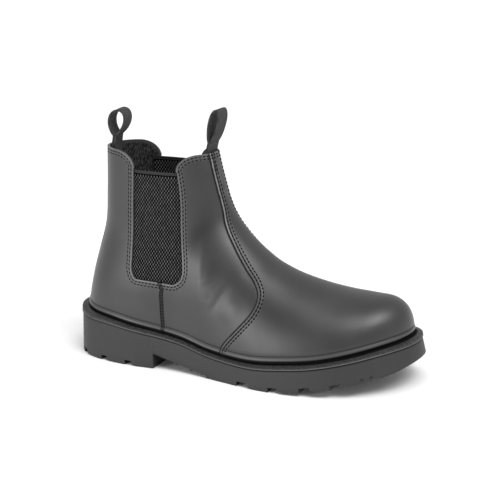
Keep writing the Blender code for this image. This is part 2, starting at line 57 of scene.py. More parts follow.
# %% Camera at the photo's angle
AZIMUTH, ELEVATION, LEAN = np.radians((26, 16.8, 1.5))
DISTANCE = 1.5
FOCAL_PIXELS = 1829.4
FRAME_PIXELS = 500
CENTRE = np.array((242.67, 270.74))
AIM = np.array((-0.0025, 0.0014, 0.080))

backward = np.array((
    np.sin(AZIMUTH) * np.cos(ELEVATION), -np.cos(AZIMUTH) * np.cos(ELEVATION), np.sin(ELEVATION),
))
level = np.array((np.cos(AZIMUTH), np.sin(AZIMUTH), 0))
upward = np.cross(backward, level)
camera_data = bpy.data.cameras.new("camera")
camera_data.sensor_width = 36
camera_data.lens = FOCAL_PIXELS / FRAME_PIXELS * camera_data.sensor_width
camera_data.shift_x, camera_data.shift_y = (CENTRE - FRAME_PIXELS / 2) / FRAME_PIXELS * (-1, 1)
camera = bpy.data.objects.new("camera", camera_data)
right = level * np.cos(LEAN) - upward * np.sin(LEAN)
top = level * np.sin(LEAN) + upward * np.cos(LEAN)
turn = Matrix(np.stack([right, top, backward], axis=1).tolist()).to_4x4()
camera.matrix_world = Matrix.Translation(AIM + backward * DISTANCE) @ turn
bpy.context.scene.collection.objects.link(camera)
bpy.context.scene.camera = camera
print("lens %.1f mm" % camera_data.lens)

# %% [markdown]
# ## Shader maths and finishes
# A finish is one Principled shader and what varies over the surface. `Value` wraps a socket, so a mask
# can be written as a sum; each step of it becomes a Math node. `Finish.node` makes every other node.


# %% Value and Finish
class Value:
    """A shader socket in a sum: each operator adds a Math node."""

    def __init__(self, finish, socket):
        self.finish = finish
        self.socket = socket

    def maths(self, operation, first, second=0.0):
        return self.finish.node("ShaderNodeMath", {"operation": operation}, {0: first, 1: second})

    def __add__(self, other):
        return self.maths("ADD", self, other)

    def __sub__(self, other):
        return self.maths("SUBTRACT", self, other)

    def __rsub__(self, other):
        return self.maths("SUBTRACT", other, self)

    def __mul__(self, other):
        return self.maths("MULTIPLY", self, other)

    def __truediv__(self, other):
        return self.maths("DIVIDE", self, other)

    def __abs__(self):
        return self.maths("ABSOLUTE", self)

    def most(self, other):
        return self.maths("MAXIMUM", self, other)

    def least(self, other):
        return self.maths("MINIMUM", self, other)

    def line(self, place, width):
        """1 on a place, falling to 0 at a width from it."""
        share = (1 - abs(self - place) / width).most(0.0)
        return share * share * (3 - share * 2)

    def rise(self, start, end):
        """0 before start, 1 after end, smooth between."""
        share = ((self - start) / (end - start)).most(0.0).least(1.0)
        return share * share * (3 - share * 2)

    __radd__ = __add__
    __rmul__ = __mul__


class Wiring:
    """Adds nodes to one tree and links them."""

    def __init__(self, tree):
        self.nodes = tree.nodes
        self.links = tree.links

    def feed(self, socket, source):
        if isinstance(source, Value):
            self.links.new(source.socket, socket)
        else:
            socket.default_value = source

    def node(self, kind, settings=None, inputs=None, output=0):
        node = self.nodes.new(kind)
        for label, setting in (settings or {}).items():
            setattr(node, label, setting)
        for label, source in (inputs or {}).items():
            self.feed(node.inputs[label], source)
        return Value(self, node.outputs[output])

    def mix(self, share, first, second):
        colors = {0: share, 6: first, 7: second}
        return self.node("ShaderNodeMix", {"data_type": "RGBA"}, colors, output=2)


class Finish(Wiring):
    """A material with one Principled shader, built from expressions."""

    def __init__(self, name, **constants):
        self.material = bpy.data.materials.new(name)
        self.material.use_nodes = True
        super().__init__(self.material.node_tree)
        self.shader = self.nodes["Principled BSDF"]
        for label, constant in constants.items():
            self.shader.inputs[label.replace("_", " ")].default_value = constant

    def set(self, label, source):
        self.feed(self.shader.inputs[label], source)

    def attribute(self, name):
        return self.node("ShaderNodeAttribute", {"attribute_name": name}, output="Fac")

    def distance(self, name):
        """A distance stored on the piece, in millimetres."""
        return self.attribute(name) * 1000

    def place(self, scale=(1, 1, 1), source="Object", lean=0.0):
        """Places on the piece, tipped about Y by degrees and then stretched by a scale."""
        spot = self.node("ShaderNodeTexCoord", output=source)
        if lean:
            inputs = {"Vector": spot, "Rotation": (0, np.radians(lean), 0)}
            spot = self.node("ShaderNodeMapping", {"vector_type": "POINT"}, inputs)
        return self.node("ShaderNodeMapping", {"vector_type": "POINT"}, {"Vector": spot, "Scale": scale})

    def noise(self, scale, detail=2.0, stretch=(1, 1, 1), lean=0.0):
        inputs = {"Vector": self.place(stretch, lean=lean), "Scale": scale, "Detail": detail}
        return self.node("ShaderNodeTexNoise", None, inputs)

    def pebbles(self, scale):
        inputs = {"Vector": self.place(), "Scale": scale}
        return self.node("ShaderNodeTexVoronoi", {"feature": "SMOOTH_F1"}, inputs)

    def paint_shade_and_dark_joints(self, share, level):
        """Covers the finish by a mask with a dull dark shader: painted shade, as deep in a seam, and dark
        holes and joints.
        """
        inputs = {"Base Color": grey(level), "Roughness": 1.0, "Specular IOR Level": 0.0}
        dull = self.node("ShaderNodeBsdfPrincipled", None, inputs, output="BSDF")
        clean = Value(self, self.shader.outputs["BSDF"])
        both = self.node("ShaderNodeMixShader", None, {0: share, 1: clean, 2: dull}, output="Shader")
        self.feed(self.nodes["Material Output"].inputs["Surface"], both)

    def bump(self, height, strength, distance):
        inputs = {"Height": height, "Strength": strength, "Distance": distance}
        self.set("Normal", self.node("ShaderNodeBump", None, inputs))


def grey(level):
    """A colour of this boot: every colour on it, its own or painted light and shade, is a neutral black or
    grey.
    """
    return (level, level, level, 1)


# %% [markdown]
# ## Floor and light
# A product photo: the boot stands on a white sweep in even light, and only a soft dark patch joins it to
# the floor. Black leather shows its form by what it reflects, so the bright patches in the photo tell
# where the lamps stood: one low at the left and one high at the right. A broad soft sun above the camera
# lights the floor evenly all the way back, and a floor that glows a little stays white. The sky is darker
# on the side where the camera stood, as a studio is, so the flat of the leather that faces it goes dark.

# %% Floor, sky and lamps
floor_finish = Finish("pale_floor", Roughness=0.9, Emission_Color=(1, 1, 1, 1), Emission_Strength=0.02)
floor_finish.set("Base Color", grey(0.90))
floor_shape = bmesh.new()
bmesh.ops.create_grid(floor_shape, x_segments=1, y_segments=1, size=30)
floor_mesh = bpy.data.meshes.new("floor")
floor_shape.to_mesh(floor_mesh)
floor_shape.free()
floor_mesh.materials.append(floor_finish.material)
floor = bpy.data.objects.new("floor", floor_mesh)
bpy.context.scene.collection.objects.link(floor)

DARK_SIDE = (0.08, -0.96, 0.26)
sky = bpy.data.worlds.new("sky")
sky.use_nodes = True
sky_nodes = Wiring(sky.node_tree)
way = sky_nodes.node("ShaderNodeTexCoord", output="Generated")
dot = {"operation": "DOT_PRODUCT"}
facing = sky_nodes.node("ShaderNodeVectorMath", dot, {0: way, 1: DARK_SIDE}, output="Value")
sky_shade = sky_nodes.mix(facing.rise(0.45, 0.95), grey(0.70), grey(0.22))
sky_nodes.feed(sky_nodes.nodes["Background"].inputs["Color"], sky_shade)
bpy.context.scene.world = sky
bpy.context.scene.view_settings.view_transform = "Standard"

# name: direction it comes from (turn from +X and height, in degrees), size in metres, watts
LAMPS = {
    "left_softbox": ((-124, 9), (1.50, 1.80), 95.0),
    "right_softbox": ((-28, 52), (2.90, 2.10), 134.0),
}
LAMP_DISTANCE = 5.0
# direction it comes from, breadth in degrees, strength
SUN = ((-58, 65), 38, 1.05)


def place_lamp(name, kind, energy, turned):
    """A lamp on a sphere round the boot, aimed at its middle."""
    turn, height = np.radians(turned)
    way = Vector((np.cos(turn) * np.cos(height), np.sin(turn) * np.cos(height), np.sin(height)))
    lamp_data = bpy.data.lights.new(name, kind)
    lamp_data.energy = energy
    lamp = bpy.data.objects.new(name, lamp_data)
    lamp.location = way * LAMP_DISTANCE + Vector((0, 0, 0.06))
    lamp.rotation_euler = way.to_track_quat("Z", "Y").to_euler()
    bpy.context.scene.collection.objects.link(lamp)
    return lamp_data


for name, (turned, size, watts) in LAMPS.items():
    softbox = place_lamp(name, "AREA", watts, turned)
    softbox.shape = "RECTANGLE"
    softbox.size, softbox.size_y = size
place_lamp("soft_sun", "SUN", SUN[2], SUN[0]).angle = np.radians(SUN[1])
print("lamps:", ", ".join(LAMPS), "and a soft sun")

# %% [markdown]
# ## The last
# A shoe is made over a last, a solid foot form, and everything on it follows that form. These are the
# same sizes and tables as the solids have: a side view, a plan, and rules for the width in between. Sizes
# are in metres and the tables hold shares of them, in the last's own frame: x from the back of the sole,
# y from its centre line.

# %% Sizes
LENGTH = 0.305
BALL_WIDTH = 0.112
HEEL_WIDTH = 0.083
HEEL_RISE = 0.035
BREAST_HEIGHT = 0.013
TOE_SPRING = 0.024
INSTEP_HEIGHT = 0.0955
COLLAR_HEIGHT = 0.1785
SHAFT_RISE = COLLAR_HEIGHT - INSTEP_HEIGHT
SHAFT_WIDTH = 0.054
LEATHER = 0.0018
VAMP_STEP = 0.0009
STAY_STEP = 0.0006
STAY_WIDTH = 0.015
ROLL = 0.0010
ROLL_HEIGHT = 0.0060
WELT_LEDGE = 0.0062
WELT_RISE = 0.0038
WELT_SLOPE = 0.0020
WELT_LIP = 0.0005
SOLE_FLARE = 0.0028
CLEARANCE = 0.0003
MM = 0.001

# %% Tables of the last
# Sole outline: share of the length, half width as shares of heel and ball width, and swing as a share of the
# ball width
PLAN = np.array([
    [0.000, 0.000, 0.000, 0.000], [0.060, 0.372, 0.000, 0.000], [0.200, 0.500, 0.000, 0.000],
    [0.360, 0.300, 0.123, -0.030], [0.480, 0.100, 0.301, -0.058], [0.600, 0.000, 0.452, -0.050],
    [0.720, 0.000, 0.495, -0.020], [0.820, 0.000, 0.480, 0.010], [0.910, 0.000, 0.385, 0.035],
    [0.975, 0.000, 0.215, 0.045], [1.000, 0.000, 0.000, 0.045],
])
# Top edge of the sole: share of the length, share of the heel rise
RIM = np.array([
    [0.00, 1.000], [0.08, 0.963], [0.14, 0.940], [0.20, 0.880], [0.28, 0.800], [0.36, 0.700], [0.45, 0.535],
    [0.52, 0.482], [0.60, 0.480], [0.68, 0.555], [0.76, 0.650], [0.85, 0.810], [0.93, 0.965], [1.00, 1.070],
])
# Welt: share of the length, rise as a share of the welt rise, width as a share of the ledge
WELT = np.array([
    [0.00, 1.85, 1.25], [0.06, 1.45, 1.10], [0.14, 1.15, 1.00], [0.30, 0.95, 1.00], [0.65, 1.00, 1.00],
    [0.88, 1.05, 1.00], [0.96, 1.25, 1.00], [1.00, 1.45, 1.00],
])
# Underside ahead of the heel: share of the length, height as shares of breast height and toe spring
UNDERSIDE = np.array([
    [0.281, 1.00, 0.00], [0.328, 0.69, 0.00], [0.393, 0.38, 0.00], [0.443, 0.17, 0.00], [0.480, 0.00, 0.00],
    [0.655, 0.00, 0.00], [0.718, 0.00, 0.08], [0.764, 0.00, 0.18], [0.816, 0.00, 0.29], [0.889, 0.00, 0.50],
    [0.961, 0.00, 0.77], [1.000, 0.00, 1.00],
])
HEEL_SHARE = 0.2795
# Back line: height as shares of instep height and shaft, x as a share of the length
BACK = np.array([
    [0.314, 0.000, 0.0246], [0.471, 0.000, 0.0272], [0.733, 0.000, 0.0452], [0.963, 0.000, 0.0682],
    [1.000, 0.199, 0.0885], [1.000, 0.536, 0.0974], [1.000, 1.000, 0.1034],
])
# Front line, toe to collar: x as a share of the length, height as shares of instep height and shaft
FRONT = np.array([
    [0.9680, 0.314, 0.000], [0.9680, 0.429, 0.000], [0.9626, 0.555, 0.000], [0.9443, 0.665, 0.000],
    [0.9082, 0.725, 0.000], [0.8525, 0.739, 0.000], [0.7869, 0.760, 0.000], [0.7180, 0.808, 0.000],
    [0.6426, 0.886, 0.000], [0.5744, 1.000, 0.000], [0.5164, 1.000, 0.163], [0.4760, 1.000, 0.331],
    [0.4551, 1.000, 0.500], [0.4410, 1.000, 0.681], [0.4295, 1.000, 0.849], [0.4207, 1.000, 1.000],
])
# Roundness of the foot's sections: share of the length, power of the dome
DOME = np.array([
    [0.00, 3.00], [0.45, 1.90], [0.55, 1.75], [0.65, 1.80], [0.80, 2.20], [0.92, 2.60], [1.00, 2.60],
])
# Shaft: height as shares of instep height and shaft, width as a share of the shaft width
SHAFT = np.array([
    [0.63, 0.00, 1.22], [0.89, 0.00, 1.16], [1.00, 0.17, 1.06], [1.00, 0.54, 0.98], [1.00, 0.84, 0.95],
    [1.00, 1.00, 0.94],
])
# Lines across the side: height as shares of instep height and shaft, x shares of the window's back and front
# edges and of the vamp seam
LINES = np.array([
    [0.290, 0.00, 0.190, 0.367, 0.4934], [0.360, 0.00, 0.194, 0.366, 0.5115],
    [0.480, 0.00, 0.200, 0.361, 0.5459], [0.610, 0.00, 0.207, 0.356, 0.5797],
    [0.690, 0.00, 0.213, 0.351, 0.5905], [0.762, 0.00, 0.234, 0.340, 0.5890],
    [0.778, 0.00, 0.223, 0.350, 0.5870], [0.806, 0.00, 0.215, 0.360, 0.5820],
    [0.850, 0.00, 0.210, 0.366, 0.5711], [0.946, 0.00, 0.209, 0.366, 0.5407],
    [1.000, 0.11, 0.208, 0.360, 0.5003], [1.000, 0.32, 0.208, 0.355, 0.4639],
    [1.000, 0.47, 0.209, 0.354, 0.4511], [1.000, 0.63, 0.211, 0.351, 0.4384],
    [1.000, 0.80, 0.213, 0.345, 0.4279], [1.000, 1.00, 0.215, 0.340, 0.4174],
])
# Rings of the upper: number, height at the back as shares, row of the front line, how late the ring rises
RINGS = np.array([
    [0, 0.581, 0.000, 2.35, 4.0], [1, 0.639, 0.000, 2.90, 5.0], [2, 0.691, 0.000, 3.40, 6.0],
    [3, 0.738, 0.000, 3.90, 6.0], [4, 0.791, 0.000, 4.50, 6.0], [5, 0.806, 0.000, 5.10, 6.0],
    [6, 0.838, 0.000, 5.80, 6.0], [7, 0.885, 0.000, 6.60, 5.0], [8, 0.955, 0.000, 7.50, 4.0],
    [9, 1.000, 0.070, 8.40, 3.5], [10, 1.000, 0.205, 9.40, 3.0], [11, 1.000, 0.355, 10.60, 2.5],
    [12, 1.000, 0.515, 11.90, 2.0], [13, 1.000, 0.670, 13.00, 1.5], [14, 1.000, 0.815, 13.95, 1.0],
    [15, 1.000, 0.915, 14.50, 1.0], [16, 1.000, 1.000, 15.00, 1.0],
])
WINDOW_RING = 4
TAB_RING = 14
TAB_CORNER = 0.0185
TAB_FALL = 0.0142
# Rolled lower edge: share of the roll's height, relief as a share of the roll
ROLL_ROWS = np.array([[0.00, -0.80], [0.20, 0.30], [0.48, 1.00], [0.77, 0.35], [0.90, -0.10], [1.00, 0.00]])


# %% Functions of the last
def through(rows, places):
    """A smooth curve through rows of (place, values)."""
    knots = rows[:, 0]
    values = rows[:, 1:]
    slopes = np.gradient(values, knots, axis=0)
    places = np.clip(np.asarray(places, float), knots[0], knots[-1])
    row = np.clip(np.searchsorted(knots, places, side="right") - 1, 0, len(knots) - 2)
    gap = (knots[row + 1] - knots[row])[..., None]
    t = (places - knots[row])[..., None] / gap
    start = (1 + 2 * t) * (1 - t) ** 2 * values[row] + t * (1 - t) ** 2 * gap * slopes[row]
    end = t * t * (3 - 2 * t) * values[row + 1] - t * t * (1 - t) * gap * slopes[row + 1]
    return start + end


def ease(low, high, value):
    t = np.clip((value - low) / (high - low), 0, 1)
    return t * t * (3 - 2 * t)


def height_at(foot_share, shaft_share):
    return foot_share * INSTEP_HEIGHT + shaft_share * SHAFT_RISE


def by_height(rows):
    return np.column_stack([height_at(rows[:, 0], rows[:, 1]), rows[:, 2:]])


def cosine_shares(count):
    return (1 - np.cos(np.linspace(0, np.pi, count))) / 2


ROUND_PLAN = np.column_stack([np.arccos(1 - 2 * PLAN[:, 0]), PLAN[:, 1:]])
BACK_LINE = by_height(BACK)
SHAFT_LINE = by_height(SHAFT)
SIDE_LINES = by_height(LINES)
FRONT_ROWS = np.column_stack([
    np.arange(len(FRONT)), FRONT[:, 0] * LENGTH, height_at(FRONT[:, 1], FRONT[:, 2]),
])
FRONT_LINE = through(FRONT_ROWS, np.linspace(0, len(FRONT) - 1, 600))
UPPER_BACK = BACK[0, 2] * LENGTH
UPPER_TIP = FRONT[0, 0] * LENGTH


def plan(share):
    """Half width and swing of the sole outline."""
    values = through(ROUND_PLAN, np.arccos(1 - 2 * np.clip(share, 0, 1)))
    half = values[..., 0] * HEEL_WIDTH + values[..., 1] * BALL_WIDTH
    return np.maximum(half, 0), values[..., 2] * BALL_WIDTH


def rim(x):
    return through(RIM, x / LENGTH)[..., 0] * HEEL_RISE


def welt_rise(x):
    return through(WELT, x / LENGTH)[..., 0] * WELT_RISE


def welt_top(x):
    return rim(x) + welt_rise(x)


def underside(x):
    values = through(UNDERSIDE, x / LENGTH)
    ahead = np.maximum(values[..., 0] * BREAST_HEIGHT + values[..., 1] * TOE_SPRING, 0)
    return np.where(x < (HEEL_SHARE + UNDERSIDE[0, 0]) / 2 * LENGTH, 0, ahead)


def back_x(z):
    return through(BACK_LINE, z)[..., 0] * LENGTH


def front_x(z):
    return np.interp(z, FRONT_LINE[:, 1], FRONT_LINE[:, 0])


def vamp_top(x):
    return np.interp(x, FRONT_LINE[::-1, 0], FRONT_LINE[::-1, 1])


def upper_sides(x, z):
    """Centre line and half width of the upper at a place in its side view: a foot blended into a shaft."""
    lean = (back_x(z) - UPPER_BACK) * (1 - ease(0.07, 0.50, x / LENGTH))
    foot_half, swing = plan((x - lean - UPPER_BACK) / (UPPER_TIP - UPPER_BACK))
    up = np.clip((z - rim(x)) / np.maximum(vamp_top(x) - rim(x), CLEARANCE), 0, 1)
    dome = np.sqrt(np.maximum(1 - up ** through(DOME, x / LENGTH)[..., 0], 0))
    foot_half = foot_half * (1 - 2 * WELT_LEDGE / BALL_WIDTH) * dome
    back = back_x(z)
    front = front_x(z)
    along = np.clip(np.abs(2 * x - back - front) / (front - back), 0, 1)
    shaft_half = through(SHAFT_LINE, z)[..., 0] * SHAFT_WIDTH / 2
    shaft_half = shaft_half * (1 - along ** 2.3) ** (1 / 2.3)
    blend = ease(0.65 * INSTEP_HEIGHT, INSTEP_HEIGHT + 0.35 * SHAFT_RISE, z)
    return swing * (1 - blend), foot_half * (1 - blend) + shaft_half * blend


outline_half, outline_swing = plan(np.linspace(0, 1, 400))
plan_middle = ((outline_swing + outline_half).max() + (outline_swing - outline_half).min()) / 2
TO_FLOOR_CENTRE = np.array((-LENGTH / 2, -plan_middle, 0))
print("last to boot frame, mm:", np.round(TO_FLOOR_CENTRE * 1000, 2))

# %% [markdown]
# ## Sheets, shells and stitches
# Everything soft on a shoe starts flat. Here a sheet starts as a grid, too, and its points are then laid
# where the last puts them. A shell is a sheet extruded to a wall, with its cut edges rounded. A stitch is
# a small round bead, pulled long. Its row is first moved sideways over the plain form, where no step can
# catch it, and each stitch is then set on the nearest place of the finished skin.


# %% Helpers for sheets, shells and stitches
def lay_grid(points):
    """A grid laid over points (rows, columns), with a UV map in rows and columns and each vertex's place."""
    rows, columns = points.shape[:2]
    sheet = bmesh.new()
    sheet.loops.layers.uv.new("UVMap")
    place = sheet.verts.layers.int.new("place")
    bmesh.ops.create_grid(sheet, x_segments=columns - 1, y_segments=rows - 1, size=0.5, calc_uvs=True)
    flat = points.reshape(-1, 3)
    for vertex in sheet.verts:
        column = round((vertex.co.x + 0.5) * (columns - 1))
        row = round((vertex.co.y + 0.5) * (rows - 1))
        vertex[place] = row * columns + column
        vertex.co = flat[vertex[place]]
    return sheet


def thicken(sheet, outer, inner, edge_round, lining=0):
    """Extrudes a sheet to a wall between two sets of points, and rounds its cut edges."""
    place = sheet.verts.layers.int["place"]
    inside = list(sheet.faces)
    grown = bmesh.ops.extrude_face_region(sheet, geom=inside, use_keep_orig=True)["geom"]
    outside = {item for item in grown if isinstance(item, bmesh.types.BMFace)}
    shown = {vertex for face in outside for vertex in face.verts}
    outer = outer.reshape(-1, 3)
    inner = inner.reshape(-1, 3)
    for vertex in sheet.verts:
        vertex.co = (outer if vertex in shown else inner)[vertex[place]]
    bmesh.ops.reverse_faces(sheet, faces=inside)
    for face in inside:
        face.material_index = lining
    walls = outside | set(inside)
    cut = [edge for edge in sheet.edges if sum(face in walls for face in edge.link_faces) == 1]
    bmesh.ops.bevel(sheet, geom=cut, offset=edge_round, offset_type="OFFSET", segments=2, profile=0.5,
                    affect="EDGES", material=-1, clamp_overlap=True)
    return sheet


def finish_piece(name, shape, finishes, node=None, smooth=50):
    """Turns a bmesh into a piece of the boot that rides on it, in the boot's own frame."""
    mesh = bpy.data.meshes.new(name)
    bmesh.ops.translate(shape, verts=shape.verts, vec=TO_FLOOR_CENTRE)
    shape.to_mesh(mesh)
    shape.free()
    mesh.shade_smooth()
    mesh.set_sharp_from_angle(angle=np.radians(smooth))
    for finish in finishes:
        mesh.materials.append(finish.material)
    piece = bpy.data.objects.new(name, mesh)
    bpy.context.scene.collection.objects.link(piece)
    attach(piece, "root")
    if node:
        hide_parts(node)
    mesh.calc_loop_triangles()
    print("%s: %d triangles" % (name, len(mesh.loop_triangles)))


def grid_normals(points, closed):
    """Unit normals of a grid of points, outward for rings that run against the clock."""
    if closed:
        along = np.roll(points, -1, axis=1) - np.roll(points, 1, axis=1)
    else:
        along = np.gradient(points, axis=1)
    normals = np.cross(along, np.gradient(points, axis=0))
    return normals / np.maximum(np.linalg.norm(normals, axis=-1, keepdims=True), 1e-12)


def evenly(path, gap):
    """A path with points a gap apart."""
    path = np.asarray(path)
    run = np.concatenate([[0], np.cumsum(np.linalg.norm(np.diff(path, axis=0), axis=1))])
    places = np.linspace(0, run[-1], max(2, int(round(run[-1] / gap)) + 1))
    return np.column_stack([np.interp(places, run, path[:, axis]) for axis in range(3)])


def grid_tree(points):
    """A grid of points as a surface to lay paths on."""
    rows, count = points.shape[:2]
    corners = [row * count + column for row in range(rows - 1) for column in range(count - 1)]
    faces = [(corner, corner + 1, corner + count + 1, corner + count) for corner in corners]
    return BVHTree.FromPolygons([tuple(point) for point in points.reshape(-1, 3)], faces)


def snap(tree, path):
    hits = [tree.find_nearest(Vector(point)) for point in path]
    return np.array([hit[0] for hit in hits]), np.array([hit[1] for hit in hits])


def beside(tree, path, distance, steps=3):
    """A path moved sideways over the surface."""
    for _ in range(steps):
        path, normals = snap(tree, path)
        across = np.cross(normals, np.gradient(path, axis=0))
        across /= np.maximum(np.linalg.norm(across, axis=1, keepdims=True), 1e-12)
        path = path + across * distance / steps
    return snap(tree, path)[0]


def sew(tree, path, pitch=3.3 * MM, length=2.4 * MM, thick=1.50 * MM, sink=0.40 * MM):
    """One row of stitches along a path: the three half axes and the centre of each bead."""
    spots, normals = snap(tree, evenly(path, pitch))
    places = []
    for spot, normal, run in zip(spots, normals, np.gradient(spots, axis=0)):
        run = Vector(run).normalized()
        side = Vector(normal).cross(run).normalized()
        normal = run.cross(side)
        places.append((side * thick / 2, normal * thick / 2, run * length / 2, Vector(spot) - normal * sink))
    return places


def stamp(places, around=6, along=5):
    """One mesh of many beads, each a round bead of radius 1 laid out by its axes and centre."""
    bead = bmesh.new()
    bmesh.ops.create_uvsphere(bead, u_segments=around, v_segments=along, radius=1)
    bead.verts.index_update()
    points = np.array([vertex.co for vertex in bead.verts])
    faces = [[vertex.index for vertex in face.verts] for face in bead.faces]
    bead.free()
    places = np.array(places)
    spots = np.einsum("pk,nkj->npj", points, places[:, :3]) + places[:, 3:]
    joined = bpy.data.meshes.new("beads")
    joined.from_pydata(spots.reshape(-1, 3).tolist(), [], [
        [corner + number * len(points) for corner in face] for number in range(len(places)) for face in faces
    ])
    shape = bmesh.new()
    shape.from_mesh(joined)
    bpy.data.meshes.remove(joined)
    return shape


def mark(shape, name, path, ahead=None):
    """Stores each vertex's distance from a path; with a way ahead given, places behind it are negative."""
    path = evenly(path, 0.5 * MM)
    tree = KDTree(len(path))
    for number, point in enumerate(path):
        tree.insert(point, number)
    tree.balance()
    layer = shape.verts.layers.float.new(name)
    for vertex in shape.verts:
        point, number, distance = tree.find(vertex.co)
        behind = ahead is not None and (vertex.co - point).dot(ahead) < 0
        vertex[layer] = -distance if behind else distance


# %% [markdown]
# ## The upper
# The real upper is cut as a vamp, two quarters and a back strip, closed on a sewing machine, and pulled
# over the last until it takes its form. One skin with a wall shows this best: the windows are left open
# in it, the vamp's and the back strip's edges are steps in it, and the lower edge rolls out over the
# welt. Rings run round the boot and columns follow the windows and the seam, so edges are clean lines of
# the mesh.

# %% Cells and steps of the upper
# Cells of the grid between the lines of one side, from back to front
CELLS = {"stay": 5, "back": 22, "window": 20, "quarter": 54, "vamp": 58}
# Steps at the back strip's edge and at the seam: place in mm from the line, share of the step's height
STAY_STEPS = np.array([[-0.45, 1.0], [-0.1, 0.85], [0.12, 0.35], [0.3, -0.1], [0.7, 0.0]])
SEAM_STEPS = np.array([[-0.7, 0.0], [-0.3, -0.12], [-0.05, 0.0], [0.1, 0.62], [0.4, 0.9], [0.9, 1.0]])


# %% Heights and ends of a ring
def crossing(height, column):
    """x where a ring crosses one of the side's lines: window back, window front or vamp seam."""
    x = LINES[0, 2 + column] * LENGTH
    for _ in range(30):
        x = 0.5 * x + 0.5 * float(through(SIDE_LINES, height(x))[column]) * LENGTH
    return x


def ring_ends(height):
    back = UPPER_BACK
    front = UPPER_TIP
    for _ in range(6):
        back = float(back_x(height(back)))
        front = float(front_x(height(front)))
    return back, front


def body_ring(row):
    """Height over x of a ring above the rolled edge, and its two ends; row may lie between two rows."""
    foot_share, shaft_share, front_row, late = through(RINGS, row)
    height_back = height_at(foot_share, shaft_share)
    back = float(back_x(height_back))
    front, height_front = through(FRONT_ROWS, front_row)
    fade = (1 - (row + 4) / (len(RINGS) + 3)) ** 2
    sag = (rim(front) - rim(back)) * fade

    def height(x):
        u = np.clip((x - back) / (front - back), 0, 1)
        flat = height_back + (rim(x) - rim(back)) * fade
        return flat + (height_front - height_back - sag) * u ** late

    return height, back, float(front)


def low_ring(share):
    """A ring of the rolled edge for shares to 1, then one on the way from it to the first ring above."""
    first = body_ring(0)[0]

    def height(x):
        roll = welt_top(x) + CLEARANCE + min(share, 1) * ROLL_HEIGHT
        return roll if share <= 1 else roll + (first(x) - roll) * (share - 1)

    return height, *ring_ends(height)


# %% Columns of a ring
def ring_columns(height, back, front):
    """x of each column of a ring on one side, with the relief of the back strip and of the vamp."""
    window_back, window_front, seam = (crossing(height, column) for column in range(3))
    fine = back + (window_back - back) * np.linspace(0, 1, 200) ** 2
    half = upper_sides(fine, height(fine))[1]
    stay = np.interp(STAY_WIDTH / 2 + STAY_STEPS[:, 0] * MM, half, fine)
    seam = min(seam, front - 1.8 * MM) + SEAM_STEPS[:, 0] * MM
    behind = back + (stay[0] - back) * (1 - np.cos(np.linspace(0, np.pi / 2, CELLS["stay"] + 1)))
    x = [
        behind[:-1],
        stay,
        stay[-1] + (window_back - stay[-1]) * cosine_shares(CELLS["back"] + 1)[1:],
        np.linspace(window_back, window_front, CELLS["window"] + 1)[1:],
        window_front + (seam[0] - window_front) * cosine_shares(CELLS["quarter"] + 1)[1:-1],
        seam,
        seam[-1] + (front - seam[-1]) * np.sin(np.linspace(0, np.pi / 2, CELLS["vamp"] + 1))[1:],
    ]
    raised = [np.full(len(part), level) for part, level in zip(x, (STAY_STEP, 0, 0, 0, 0, 0, VAMP_STEP))]
    raised[1] = STAY_STEPS[:, 1] * STAY_STEP
    raised[5] = SEAM_STEPS[:, 1] * VAMP_STEP
    return np.concatenate(x), np.concatenate(raised), np.cumsum([len(part) for part in x])


# %% All rings of the upper
RING_STEPS = 5
roll_shares = np.linspace(0, 1, 13)
gap_shares = np.linspace(1, 2, 6)[1:-1]
body_rows = np.linspace(0, len(RINGS) - 1, (len(RINGS) - 1) * RING_STEPS + 1)
rings = [(low_ring(share), share, -1) for share in np.concatenate([roll_shares, gap_shares])]
rings += [(body_ring(row), 2, row) for row in body_rows]
window_row = len(roll_shares) + len(gap_shares) + WINDOW_RING * RING_STEPS
print("rings:", len(rings))

# %% Creases and soft forms
# Leather that bends over the ankle keeps soft creases; they are listed where the photo has them.
# Each line: start and end of a trough (or ridge, if its depth is negative) in the side view, its width and
# depth, all in millimetres of the last's frame
CREASES = np.array([
    [138.5, 53.0, 157.5, 83.0, 3.4, 0.45],
    [134.0, 62.0, 141.0, 70.0, 2.8, 0.16],
    [150.0, 48.0, 166.0, 68.0, 8.0, -0.50],
    [126.0, 80.0, 149.0, 91.0, 2.2, 0.18],
    [124.0, 86.0, 146.0, 96.0, 2.2, 0.16],
    [130.0, 74.0, 146.0, 84.0, 2.2, 0.16],
    [160.0, 92.0, 176.0, 80.0, 3.0, 0.30],
    [172.0, 96.0, 188.0, 84.0, 3.5, 0.30],
    [120.0, 96.0, 128.0, 128.0, 7.0, 0.55],
])


def crease_relief(x, z):
    """How far troughs and ridges move the leather at places in the side view."""
    spot = np.stack([x, z], axis=-1) * 1000
    relief = np.zeros(x.shape)
    for x0, z0, x1, z1, width, depth in CREASES:
        start = np.array((x0, z0))
        run = np.array((x1, z1)) - start
        along = (spot - start) @ run / (run @ run)
        off = spot - start - np.clip(along, 0, 1)[..., None] * run
        fade = np.sin(np.clip(along, 0, 1) * np.pi) ** 1.5
        relief -= depth * MM * fade * np.exp(-(off ** 2).sum(-1) / width ** 2)
    return relief


